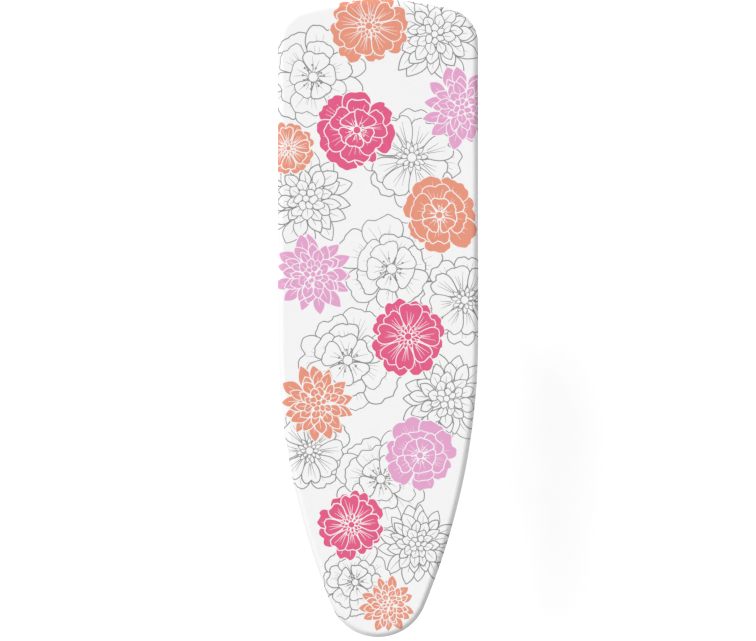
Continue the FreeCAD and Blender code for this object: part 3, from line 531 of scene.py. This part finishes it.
def cosmos(art, centre, radius, fill, seed):
    """Eight notched petals with ribs, over eight more, round small pointed ones and a bud."""
    b = Bloom(art, centre, fill, seed)
    start, number = b.vary(0, 6.28), 8
    for ring, (share, inner) in enumerate(((1.0, 0.16), (0.82, 0.12))):
        for angle in b.ring(number, 0.12, start + ring * math.pi / number):
            tip = radius * share * b.vary(0.9, 1.05)
            base = radius * inner
            half = tip * math.sin(math.pi / number) * b.vary(1.02, 1.2)
            outline = round_petal(base, tip, half, 0.62, tip * 0.012, 0.09, b.vary(0, 6.28))
            b.petal(outline, angle, b.pen())
            for path in b.veins(base, tip, half, 3):
                b.vein(path, angle, LINE_WIDTH * 0.75)
    for share, number in ((0.32, 11), (0.22, 8)):
        for angle in b.ring(number, 0.1):
            tip = radius * share * b.vary(0.92, 1.06)
            half = math.pi * tip * 0.6 / number
            b.petal(blade(radius * 0.04, tip, half, 0.0, 1.5), angle, LINE_WIDTH * 0.7)
    b.bud(radius * 0.1, LINE_WIDTH * 0.7)


FIRST_BLOOM_SEED = 100
BLOOMS = [
    # kind, x, y, radius, ink; line-drawn blooms first, solid ones over them
    (dahlia, 124, 622, 112, "white"),
    (anemone, -142, 528, 118, "white"),
    (cosmos, 74, 352, 112, "white"),
    (dahlia, -158, 262, 110, "white"),
    (anemone, 30, 108, 120, "white"),
    (cosmos, 190, 40, 98, "white"),
    (anemone, -66, -92, 116, "white"),
    (dahlia, 150, -176, 106, "white"),
    (cosmos, -150, -290, 92, "white"),
    (anemone, 6, -352, 108, "white"),
    (dahlia, 88, -494, 90, "white"),
    (anemone, -50, -578, 84, "white"),
    (cosmos, -20, 640, 90, "salmon"),
    (dahlia, 184, 462, 92, "orchid"),
    (anemone, -46, 412, 92, "magenta"),
    (cosmos, -196, 372, 60, "salmon"),
    (anemone, 134, 226, 88, "salmon"),
    (dahlia, -142, 96, 92, "orchid"),
    (cosmos, 66, -40, 88, "magenta"),
    (dahlia, -130, -186, 88, "salmon"),
    (anemone, 92, -300, 84, "orchid"),
    (cosmos, -58, -452, 78, "magenta"),
    (dahlia, 22, -628, 64, "salmon"),
]
art = Print()
for number, (kind, x, y, radius, ink) in enumerate(BLOOMS):
    kind(art, (x, y), radius, ink, FIRST_BLOOM_SEED + number)


# ---------------- materials
def new_material(name):
    material = bpy.data.materials.new(name)
    material.use_nodes = True
    return material, material.node_tree, material.node_tree.nodes["Principled BSDF"]


def add_node(tree, kind, inputs, **settings):
    """A new node of tree, its inputs set to values or linked to other nodes' outputs."""
    node = tree.nodes.new("ShaderNode" + kind)
    for name, value in settings.items():
        setattr(node, name, value)
    for socket, value in inputs.items():
        if isinstance(value, bpy.types.NodeSocket):
            tree.links.new(value, node.inputs[socket])
        else:
            node.inputs[socket].default_value = value
    return node


def wave_scale(period):
    """The wave texture's scale for bands that are period metres apart."""
    return math.pi / 10 / period


class Surface:
    """A node material under construction, with the node patterns that the finishes share."""

    def __init__(self, name, uv=None):
        self.material, self.tree, self.shader = new_material(name)
        if uv:
            self.where = self.add("UVMap", {}, uv_map=uv).outputs["UV"]
        else:
            self.where = self.add("TexCoord", {}).outputs["Object"]

    def add(self, kind, inputs, **settings):
        return add_node(self.tree, kind, inputs, **settings)

    def stretched(self, scale, turn=(0, 0, 0)):
        """The place, scaled differently along each axis."""
        inputs = {"Vector": self.where, "Scale": scale, "Rotation": turn}
        return self.add("Mapping", inputs).outputs["Vector"]

    def noise(self, size, detail, where=None, distortion=0.0):
        """Noise whose lumps are about size metres wide."""
        inputs = {"Scale": 1 / size, "Detail": detail, "Distortion": distortion}
        return self.add("TexNoise", {"Vector": where or self.where, **inputs}).outputs["Fac"]

    def cells(self, size):
        return self.add("TexVoronoi", {"Vector": self.where, "Scale": 1 / size}).outputs["Distance"]

    def bands(self, direction, period):
        inputs = {"Scale": wave_scale(period), "Distortion": 0.3, "Detail": 1.0}
        wave = self.add("TexWave", {"Vector": self.where, **inputs}, bands_direction=direction)
        return wave.outputs["Fac"]

    def remap(self, value, low, high, to_low=0.0, to_high=1.0):
        ends = {"From Min": low, "From Max": high, "To Min": to_low, "To Max": to_high}
        return self.add("MapRange", {"Value": value, **ends}).outputs["Result"]

    def math(self, operation, one, other):
        return self.add("Math", {0: one, 1: other}, operation=operation).outputs["Value"]

    def mixed(self, factor, one, other):
        """From one colour to the other; each is a tuple or an output."""
        one, other = [(*c, 1) if isinstance(c, tuple) else c for c in (one, other)]
        inputs = {"Factor": factor, "A": one, "B": other}
        return self.add("Mix", inputs, data_type="RGBA").outputs["Result"]

    def chosen(self, factor, one, other):
        inputs = {"Factor": factor, "A": one, "B": other}
        return self.add("Mix", inputs, data_type="FLOAT").outputs["Result"]

    def bump(self, height, distance, strength):
        inputs = {"Height": height, "Distance": distance, "Strength": strength}
        return self.add("Bump", inputs).outputs["Normal"]

    def finish(self, colour, roughness, normal, **constants):
        outputs = {"Base Color": colour, "Roughness": roughness, "Normal": normal}
        for name, output in outputs.items():
            self.tree.links.new(output, self.shader.inputs[name])
        for name, number in constants.items():
            self.shader.inputs[name.replace("_", " ")].default_value = number
        return self.material


def darker(colour, share):
    return tuple(c * share for c in colour)


def toward(colour, other, share):
    return tuple(c + (o - c) * share for c, o in zip(colour, other))


THREAD = 0.9                    # from one thread of the cotton to the next, in millimetres


def cloth_material(name, ink):
    """Plain-woven cotton in one ink, with painted shade in the gaps between the threads."""
    s, thread = Surface(name, "Cloth"), THREAD * MM
    check = s.add("TexChecker", {"Vector": s.where, "Scale": 1 / thread})
    weave = s.chosen(check.outputs["Fac"], s.bands("X", thread), s.bands("Y", thread))
    cloud = s.noise(0.09, 4.0)
    slub_x = s.noise(0.010, 1.0, s.stretched((0.12, 9.0, 1.0)))
    slub_y = s.noise(0.010, 1.0, s.stretched((9.0, 0.12, 1.0)))
    slub = s.math("MULTIPLY", slub_x, slub_y)
    worn = toward(darker(ink, 0.985), (0.9, 0.9, 0.9), 0.03)
    thin = toward(ink, (0.93, 0.93, 0.93), 0.07)
    tone = s.mixed(s.remap(cloud, 0.35, 0.65), ink, worn)
    tone = s.mixed(s.remap(slub, 0.12, 0.42), tone, thin)
    # painted shade: the ink is darkened in the gaps between the threads, where the weave dips
    tone = s.mixed(s.remap(weave, 0.0, 0.35, 0.3, 0.0), tone, darker(ink, 0.92))
    height = s.math("ADD", weave, s.math("MULTIPLY", slub, 0.6))
    return s.finish(
        tone,
        s.remap(weave, 0.0, 1.0, 0.92, 0.80),
        s.bump(height, 0.00022, 0.55),
        Sheen_Weight=0.10,
        Sheen_Roughness=0.45,
        Specular_IOR_Level=0.25,
    )


def powder_coat(name, colour, flake):
    """Baked powder paint: orange peel, a little flake and soft clouding."""
    s = Surface(name)
    tone = s.mixed(s.remap(s.noise(0.05, 4.0), 0.35, 0.65), colour, darker(colour, 0.955))
    flakes = s.remap(s.noise(0.0006, 1.0), 0.58, 0.72, 0.0, flake)
    tone = s.mixed(flakes, tone, toward(colour, (1, 1, 1), 0.6))
    tone = s.mixed(s.remap(s.noise(0.012, 6.0), 0.62, 0.80, 0.0, 0.35), tone, darker(colour, 0.82))
    peel = s.noise(0.0016, 1.5)
    return s.finish(
        tone,
        s.remap(s.noise(0.02, 3.0), 0.3, 0.7, 0.36, 0.50),
        s.bump(peel, 0.00010, 0.5),
        Specular_IOR_Level=0.5,
    )


def brushed(name, colour, along):
    """Bright steel with fine drawn lines along one axis."""
    s = Surface(name)
    scale = [1.0, 1.0, 1.0]
    scale[along] = 0.03
    lines = s.noise(0.0005, 3.0, s.stretched(tuple(scale)))
    tone = s.mixed(s.remap(s.noise(0.03, 4.0), 0.3, 0.7), colour, darker(colour, 0.88))
    tone = s.mixed(s.remap(lines, 0.55, 0.75, 0.0, 0.4), tone, darker(colour, 0.7))
    rough = s.remap(lines, 0.3, 0.7, 0.24, 0.42)
    return s.finish(tone, rough, s.bump(lines, 0.00003, 0.6), Metallic=1.0)


def zinc(name, colour):
    """Zinc plating: faint crystals and a slightly mottled shine."""
    s = Surface(name)
    spangle = s.cells(0.0022)
    tone = s.mixed(s.remap(spangle, 0.1, 0.7), colour, darker(colour, 0.92))
    tone = s.mixed(s.remap(s.noise(0.004, 4.0), 0.55, 0.75, 0.0, 0.25), tone, darker(colour, 0.72))
    rough = s.remap(s.noise(0.003, 3.0), 0.3, 0.7, 0.22, 0.40)
    return s.finish(tone, rough, s.bump(spangle, 0.00004, 0.5), Metallic=1.0)


def moulding(name, colour, grain, roughness, scuff=0.25):
    """Moulded plastic: spark-eroded grain, with paler rubbed places."""
    s = Surface(name)
    pits = s.cells(grain)
    tone = s.mixed(s.remap(s.noise(0.02, 4.0), 0.35, 0.65), colour, darker(colour, 0.88))
    rubbed = s.remap(s.noise(0.009, 6.0, s.stretched((1.0, 0.35, 1.0))), 0.60, 0.78, 0.0, scuff)
    tone = s.mixed(rubbed, tone, toward(colour, (0.8, 0.8, 0.8), 0.18))
    rough = s.remap(s.noise(0.012, 3.0), 0.3, 0.7, roughness - 0.07, roughness + 0.07)
    return s.finish(tone, rough, s.bump(pits, grain * 0.16, 0.5), Specular_IOR_Level=0.4)


def rubber(name, colour):
    """Foot rubber, dusty in patches."""
    s = Surface(name)
    dust = s.remap(s.noise(0.014, 6.0), 0.45, 0.75, 0.0, 0.5)
    tone = s.mixed(dust, colour, toward(colour, (0.5, 0.48, 0.45), 0.28))
    height = s.math("ADD", s.noise(0.0009, 2.0), s.cells(0.003))
    return s.finish(tone, s.remap(dust, 0.0, 0.5, 0.66, 0.9), s.bump(height, 0.00012, 0.6))


def felt(name, colour):
    """Needle felt: matted fibres in every direction and small punched dimples."""
    s = Surface(name)
    one = s.noise(0.0011, 5.0, s.stretched((1.0, 0.18, 1.0)), 1.6)
    two = s.noise(0.0011, 5.0, s.stretched((0.18, 1.0, 1.0), (0, 0, 0.6)), 1.6)
    fibres = s.math("MAXIMUM", one, two)
    # painted shade: darker between the fibres, where the felt dips
    tone = s.mixed(s.remap(fibres, 0.45, 0.72), darker(colour, 0.80), colour)
    tone = s.mixed(s.remap(s.noise(0.006, 3.0), 0.62, 0.70, 0.0, 0.5), tone, darker(colour, 0.62))
    height = s.math("ADD", fibres, s.math("MULTIPLY", s.cells(0.0035), 0.7))
    return s.finish(
        tone,
        s.remap(fibres, 0.3, 0.7, 0.98, 0.86),
        s.bump(height, 0.0006, 0.8),
        Sheen_Weight=0.35,
        Sheen_Roughness=0.6,
    )


def braid(name, colour):
    """The elastic's sheath: two sets of threads wound across each other."""
    s = Surface(name)
    waves = []
    for turn in (0.7, -0.7):
        inputs = {"Vector": s.stretched((1, 1, 1), (0.3, 0.2, turn)), "Scale": wave_scale(0.0009)}
        waves.append(s.add("TexWave", {**inputs, "Distortion": 0.4}).outputs["Fac"])
    threads = s.math("MAXIMUM", *waves)
    # painted shade: darker in the gaps between the threads, where the braid dips
    tone = s.mixed(s.remap(threads, 0.2, 0.8), darker(colour, 0.72), colour)
    return s.finish(tone, s.remap(threads, 0.0, 1.0, 0.92, 0.78), s.bump(threads, 0.0002, 0.7))


INKS = {
    "white": (0.955, 0.955, 0.955),
    "grey": (0.225, 0.225, 0.23),
    "magenta": (0.80, 0.085, 0.235),
    "orchid": (0.81, 0.37, 0.63),
    "salmon": (0.84, 0.30, 0.19),
}
cloth = {name: cloth_material("cotton_" + name, ink) for name, ink in INKS.items()}
BASE = {row["slot"]: tuple(row["base_color"]) for row in frame["record"]["materials"]}
FINISHES = {
    "hem_elastic": braid("elastic_sheath", BASE["hem_elastic"]),
    "pad_felt": felt("felt", BASE["pad_felt"]),
    "deck_steel": powder_coat("deck_paint", BASE["deck_steel"], 0.25),
    "frame_paint": powder_coat("frame_paint", BASE["frame_paint"], 0.35),
    "bright_steel": brushed("bright_steel", BASE["bright_steel"], 1),
    "zinc_fastener": zinc("zinc", BASE["zinc_fastener"]),
    "dark_plastic": moulding("dark_moulding", BASE["dark_plastic"], 0.0008, 0.52),
    "white_nylon": moulding("nylon", BASE["white_nylon"], 0.0006, 0.44, 0.1),
    "lever_grip": moulding("grip_moulding", BASE["lever_grip"], 0.0011, 0.58, 0.15),
    "foot_rubber": rubber("foot_rubber", BASE["foot_rubber"]),
}
for row in frame["record"]["subparts"]:
    finish = FINISHES.get(row["material_slot"])
    node = bpy.data.objects.get(row["node"])
    if finish and node:
        for slot in node.material_slots:
            slot.material = finish


# ---------------- the cover
def linked(name, data):
    """A new object with data, in the scene."""
    piece = bpy.data.objects.new(name, data)
    bpy.context.scene.collection.objects.link(piece)
    return piece


def mesh_object(name, vertices, faces, smooth=True):
    mesh = bpy.data.meshes.new(name)
    mesh.from_pydata([tuple(v) for v in vertices], [], faces)
    mesh.polygons.foreach_set("use_smooth", [smooth] * len(mesh.polygons))
    return linked(name, mesh)


def row_of_points(d, step):
    """Points of the flat cut at a length d past the flat top's edge line."""
    return edge_points(ROLL_WIDTH - d, step)


PLAIN = 0                       # the unprinted cloth's place among the inks
PLAIN_REPEATS, INK_REPEATS = (60, 120), (30, 15)  # of the weave, across and along a patch
PLAIN_CORNERS = (0.004, 0.004), (0.60, 0.996)  # of the patch, in the bake's square
INK_CORNERS = (0.62, 0.007), (0.996, 0.243)  # the same for the first printed ink
INK_PITCH = 0.25                # from one printed ink's patch up to the next


def stacked(corners, slots):
    """The faces' map for a bake, from their corners in the flat cut and their inks.

    Each ink has a part of the map, where its faces lie over each other on one patch of weave. The
    patch holds whole repeats, so the threads of all faces coincide and keep their full detail."""
    places = np.zeros(corners.shape)
    for ink in np.unique(slots):
        here = slots == ink
        patch = 2 * THREAD * np.array(PLAIN_REPEATS if ink == PLAIN else INK_REPEATS)
        low, high = np.array(PLAIN_CORNERS if ink == PLAIN else INK_CORNERS)
        if ink != PLAIN:
            up = [0, INK_PITCH * (ink - 1)]
            low, high = low + up, high + up
        moved = corners[here] - (np.floor(corners[here].mean(1) / patch) * patch)[:, None]
        first, last = moved.min((0, 1)), moved.max((0, 1))
        places[here] = low + (moved - first) * ((high - low) / (last - first)).min()
    return places


PRINTED_TO = CUT_REACH - 20     # the cloth's last 20 mm, in the hem, are plain
HEM_STEP = 3.6
COVER_ROWS = [
    # lengths past the flat top's edge line, and the step between a row's points
    ([-6, -2, *np.linspace(0, CROWN, 6), CROWN + RAMP / 2], 9.0),
    (np.linspace(CROWN + RAMP, ROLL, 4), 6.0),
    (np.linspace(ROLL, TURN_START, 3)[1:], 4.0),
    (np.linspace(TURN_START, LIP_START, 5)[1:], 4.0),
    (np.linspace(LIP_START + 4, HEM_START, 5), 3.2),
    (np.linspace(HEM_START, CUT_REACH, 13)[1:-1], HEM_STEP),
]
GRID_STEP, GRID_CLEAR = 26.0, 12.0  # points of the flat top, clear of its edge line


def grid_points(start, step):
    """A grid over the board's box, from start inside its corner."""
    return np.array([
        (x, y)
        for x in np.arange(-HALF_WIDTH + start, HALF_WIDTH, step)
        for y in np.arange(NOSE_Y + start, HEEL_Y, step)
    ])


def cover_piece():
    names = list(INKS)
    borders, border_edges = colour_borders(art, names, PRINTED_TO)
    outline = row_of_points(CUT_REACH, HEM_STEP)
    points = list(borders)
    edges = [tuple(int(k) for k in pair) for pair in border_edges]
    first, count = len(points), len(outline)
    points.extend(outline)
    edges.extend((first + k, first + (k + 1) % count) for k in range(count))
    for lengths, step in COVER_ROWS:
        for d in lengths:
            points.extend(row_of_points(d, step))
    grid = grid_points(0, GRID_STEP)
    points.extend(grid[on_edge(grid)[0] + ROLL_WIDTH < -GRID_CLEAR])
    flat, triangles = triangulated(points, edges, MERGED)
    centres = flat[triangles].mean(1)
    inside = on_edge(centres)[0] + ROLL_WIDTH < CUT_REACH - 0.001
    used, triangles = np.unique(triangles[inside], return_inverse=True)
    flat, triangles = flat[used], triangles.reshape(-1, 3)
    slots = art.ink_at(centres[inside], names)
    slots[on_edge(centres[inside])[0] + ROLL_WIDTH > PRINTED_TO] = PLAIN
    piece = mesh_object("printed_cover", cover_place(flat) * MM, triangles.tolist())
    mesh = piece.data
    for name in names:
        mesh.materials.append(cloth[name])
    mesh.polygons.foreach_set("material_index", slots)
    loops = np.zeros(len(mesh.loops), int)
    mesh.loops.foreach_get("vertex_index", loops)
    weave = mesh.uv_layers.new(name="Cloth")
    weave.data.foreach_set("uv", (flat[loops] * MM).ravel())
    baked = stacked(flat[loops].reshape(-1, 3, 2), slots)
    mesh.uv_layers.new(name="OFBake").data.foreach_set("uv", baked.ravel())
    mesh.normals_split_custom_set_from_vertices([tuple(n) for n in cover_normals(flat)])
    mesh.update()
    return piece, flat


cover, cut_points = cover_piece()
cut_edge = row_of_points(CUT_REACH, HEM_STEP)
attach(cover, "board")
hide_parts("fabric_cover")


# ---------------- the felt pad under it
PAD_BOTTOM = SHEET_TOP_Z
PAD_DEPTH = 1.0                 # how far under the cover's face the felt lies
PAD_STEP, PAD_GRID = 9.0, 18.0
PAD_SINK = 1.2                  # the felt's mean level under the top, as a share of its swell


def pad_edge():
    """The felt's face from the flat top's edge line to the sheet: offset outward and height."""
    d = np.linspace(0, ROLL, 80)
    out, z = section(d)
    lean = np.arctan2(-np.gradient(z), np.gradient(out))
    out, z = out - PAD_DEPTH * np.sin(lean), z - PAD_DEPTH * np.cos(lean)
    end = np.interp(-PAD_BOTTOM, -z, out)
    return np.append(out[z > PAD_BOTTOM], end), np.append(z[z > PAD_BOTTOM], PAD_BOTTOM)


def pad_piece():
    """Needle felt, cut to the board and squeezed thin along its edge under the drawn-down cover."""
    edge_out, edge_z = pad_edge()
    rings = [edge_points(ROLL_WIDTH - out, PAD_STEP) for out in np.linspace(edge_out[-1], 0.0, 9)]
    rim = rings[0]
    inner = grid_points(4, PAD_GRID)
    inner = inner[on_edge(inner)[0] < -ROLL_WIDTH - 8]
    edges = [(k, (k + 1) % len(rim)) for k in range(len(rim))]
    sides = []
    for extra, is_top in ((rings[1:] + [inner], True), ([edge_points(6.0, 12.0), inner], False)):
        flat, triangles = triangulated(list(rim) + [p for ring in extra for p in ring], edges, 0.01)
        d = on_edge(flat)[0]
        if is_top:
            z = np.interp(d + ROLL_WIDTH, edge_out, edge_z)
            z -= SWELL * smoothstep(-d / FLAT_FROM) * (PAD_SINK - swell(flat))
        else:
            z = np.full(len(flat), PAD_BOTTOM) + 0.25 * smoothstep(-d / 30) * (1 + swell(flat * 3))
        sides.append((np.column_stack([flat, z]), triangles))
    vertices = np.concatenate([sides[0][0], sides[1][0]])
    lower = sides[1][1][:, ::-1] + len(sides[0][0])
    piece = mesh_object("felt_pad", vertices * MM, np.concatenate([sides[0][1], lower]).tolist())
    mesh = bmesh.new()
    mesh.from_mesh(piece.data)
    bmesh.ops.remove_doubles(mesh, verts=mesh.verts, dist=0.00005)
    mesh.to_mesh(piece.data)
    mesh.free()
    piece.data.materials.append(FINISHES["pad_felt"])
    return piece


pad = pad_piece()
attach(pad, "board")
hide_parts("foam_pad")


# ---------------- the hem's stitches
STITCH_PITCH, STITCH_LENGTH, STITCH_THICK = 5.2, 3.6, 0.42
SEAM = 2.5                      # from the hem's tunnel back to the stitches


def sleeve(one, two, corners):
    """Faces between two rings of corners, given the first corner of each."""
    pairs = [(c, (c + 1) % corners) for c in range(corners)]
    return [(one + c, one + after, two + after, two + c) for c, after in pairs]


def stitches_piece():
    """The stitches that close the hem's tunnel: a short raised thread, a gap, and so on."""
    line = row_of_points(HEM_START - SEAM, 1.0)
    steps = np.hypot(*(np.roll(line, -1, axis=0) - line).T)
    along = np.concatenate([[0.0], np.cumsum(steps)])
    closed = np.vstack([line, line[:1]])
    count = int(along[-1] / STITCH_PITCH)
    marks = np.linspace(0, along[-1], count, endpoint=False)
    rows = []
    shares = np.linspace(-0.5, 0.5, 5)
    for share in shares:
        at = (marks + share * STITCH_LENGTH) % along[-1]
        flat = np.column_stack([np.interp(at, along, closed[:, axis]) for axis in (0, 1)])
        rows.append((cover_place(flat), cover_normals(flat)))
    vertices, faces = [], []
    corners, last = 6, len(rows) - 1
    for k in range(count):
        direction = rows[last][0][k] - rows[0][0][k]
        direction /= np.linalg.norm(direction)
        first = len(vertices)
        for share, (places, ups) in zip(shares, rows):
            across = np.cross(ups[k], direction)
            bulge = math.sqrt(1 - (1.9 * share) ** 2)
            for c in range(corners):
                a = 2 * math.pi * c / corners
                rise = math.sin(a) * 0.5 * STITCH_THICK + 0.12
                offset = ups[k] * rise + across * math.cos(a) * 0.62 * STITCH_THICK
                vertices.append(places[k] + offset * bulge)
        for r in range(last):
            faces.extend(sleeve(first + r * corners, first + (r + 1) * corners, corners))
        faces.append(tuple(first + c for c in range(corners))[::-1])
        faces.append(tuple(first + last * corners + c for c in range(corners)))
    piece = mesh_object("hem_stitches", np.array(vertices) * MM, faces)
    piece.data.materials.append(thread)
    return piece


thread = braid("sewing_thread", (0.90, 0.90, 0.90))
stitches = stitches_piece()
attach(stitches, "board")


# ---------------- weld beads of the legs
BEAD_RADIUS = 1.45
BEAD_STEPS, BEAD_CORNERS = 96, 8


def middle(node):
    low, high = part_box(node)
    return np.array((low + high) / 2) / MM


def bar_radius(node):
    """The radius of a bar that lies level."""
    low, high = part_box(node)
    return (high.z - low.z) / MM / 2


def bead(place, along, thick_axis, thin_radius, thick_radius):
    """The vertices and faces of a weld round a thin tube that leaves a thicker one.

    The thin tube runs along `along`, from place on the thicker one's axis."""
    side = np.cross(along, thick_axis)
    turns = np.linspace(0, 2 * math.pi, BEAD_STEPS, endpoint=False)
    shape = random.Random(round(float(place[0] * 7 + place[1])))
    line = np.array([
        place + thin_radius * (math.cos(a) * thick_axis + math.sin(a) * side)
        + along * math.sqrt(max(thick_radius ** 2 - (thin_radius * math.sin(a)) ** 2, 0.0))
        for a in turns
    ])
    outward = np.array([math.cos(a) * thick_axis + math.sin(a) * side for a in turns])
    ahead = np.roll(line, -1, axis=0) - np.roll(line, 1, axis=0)
    ahead /= np.linalg.norm(ahead, axis=1)[:, None]
    up = np.cross(ahead, outward)
    up /= np.linalg.norm(up, axis=1)[:, None]
    out = np.cross(up, ahead)
    vertices, faces = [], []
    for k in range(BEAD_STEPS):
        wave = 0.92 + 0.16 * abs(math.sin(k * math.pi / 3))
        ripple = BEAD_RADIUS * wave * shape.uniform(0.95, 1.05)
        for c in range(BEAD_CORNERS):
            a = 2 * math.pi * c / BEAD_CORNERS
            vertices.append(line[k] + ripple * (math.cos(a) * out[k] + math.sin(a) * up[k]))
    for k in range(BEAD_STEPS):
        faces.extend(sleeve(k * BEAD_CORNERS, (k + 1) % BEAD_STEPS * BEAD_CORNERS, BEAD_CORNERS))
    return vertices, faces


def beads_piece(name, body, joints):
    vertices, faces = [], []
    for joint in joints:
        more, sides = bead(*joint)
        faces.extend(tuple(k + len(vertices) for k in face) for face in sides)
        vertices.extend(more)
    piece = mesh_object(name, np.array(vertices) * MM, faces)
    piece.data.materials.append(FINISHES["frame_paint"])
    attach(piece, body)


ACROSS = np.array([1.0, 0.0, 0.0])
JOINT_PLACES = {joint["name"]: np.array(joint["pos_m"]) / MM for joint in frame["joints"]}
crossing = JOINT_PLACES["leg_cross"]
for name, body, tube, foot in (
    ("outer_weld_beads", "outer_leg", "outer_leg_tube_", "outer_foot_bar"),
    ("inner_weld_beads", "inner_leg", "inner_leg_tube_", "inner_foot_bar"),
):
    foot_place, foot_radius = middle(foot), bar_radius(foot)
    upward = (crossing - foot_place) * [0, 1, 1]
    upward /= np.linalg.norm(upward)
    joints = []
    for side in ("left", "right"):
        x = middle(tube + side)[0]
        leg_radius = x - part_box(tube + side)[0].x / MM
        joints.append((foot_place + ACROSS * x, upward, ACROSS, leg_radius, foot_radius))
        if body == "inner_leg":
            for bar in ("inner_leg_crossbar", "inner_leg_strut"):
                place, inward = middle(bar) + ACROSS * x, ACROSS * -math.copysign(1.0, x)
                joints.append((place, inward, upward, bar_radius(bar), leg_radius))
    beads_piece(name, body, joints)


# ---------------- camera, light and floor
CAMERA_Y, CAMERA_HEIGHT = -0.0049, 3.9076  # from the middle of the board's top
FLOOR_CORNERS = [(-9, -9, 0), (9, -9, 0), (9, 9, 0), (-9, 9, 0)]
FLOOR_TONES = 0.54, 0.56
FLOOR_GLOW = 0.70               # added where the camera sees the floor
SKY_AS_LIGHT, SKY_AS_SEEN = 0.375, 1.0
KEY_DIRECTION = Vector((0.455, -0.455, -0.766))


def shown_to(tree, *rays):
    """1 for any of these kinds of ray, 0 for the others."""
    path = add_node(tree, "LightPath", {})
    found = path.outputs[rays[0]]
    for ray in rays[1:]:
        inputs = {0: found, 1: path.outputs[ray]}
        found = add_node(tree, "Math", inputs, operation="MAXIMUM").outputs[0]
    return found


def spread(tree, value, low, high):
    """From low to high as value goes from 0 to 1."""
    inputs = {"Value": value, "To Min": low, "To Max": high}
    return add_node(tree, "MapRange", inputs).outputs["Result"]


scene = bpy.context.scene
camera_data = bpy.data.cameras.new("camera")
camera_data.lens = 85.0
camera_data.sensor_width = 36.0
camera = linked("camera", camera_data)
camera.location = Vector((0.0, 0.0, TOP_Z * MM)) + Vector((0.0, CAMERA_Y, CAMERA_HEIGHT))
scene.camera = camera

floor = mesh_object("floor", FLOOR_CORNERS, [(0, 1, 2, 3)], False)
floor_material, tree, shader = new_material("floor_white")
tree.nodes.remove(shader)
grain = add_node(tree, "TexNoise", {"Scale": 3.0}).outputs["Fac"]
paint = add_node(tree, "BsdfDiffuse", {"Color": spread(tree, grain, *FLOOR_TONES)}).outputs[0]
glow = add_node(tree, "Emission", {"Strength": FLOOR_GLOW}).outputs[0]
both = add_node(tree, "AddShader", {0: paint, 1: glow}).outputs[0]
rays = shown_to(tree, "Is Camera Ray", "Is Glossy Ray", "Is Transmission Ray")
mix = add_node(tree, "MixShader", {0: rays, 1: paint, 2: both}).outputs[0]
tree.links.new(mix, tree.nodes["Material Output"].inputs["Surface"])
floor.data.materials.append(floor_material)

world = bpy.data.worlds.new("studio")
scene.world = world
world.use_nodes = True
tree = world.node_tree
background = tree.nodes["Background"]
background.inputs["Color"].default_value = (1, 1, 1, 1)
rays = shown_to(tree, "Is Camera Ray", "Is Glossy Ray")
strength = spread(tree, rays, SKY_AS_LIGHT, SKY_AS_SEEN)
tree.links.new(strength, background.inputs["Strength"])

key_data = bpy.data.lights.new("key", "SUN")
key_data.energy = 2.55
key_data.angle = math.radians(28)
key = linked("key", key_data)
key.rotation_mode = "QUATERNION"
key.rotation_quaternion = KEY_DIRECTION.to_track_quat("-Z", "Y")

scene.view_settings.view_transform = "Standard"
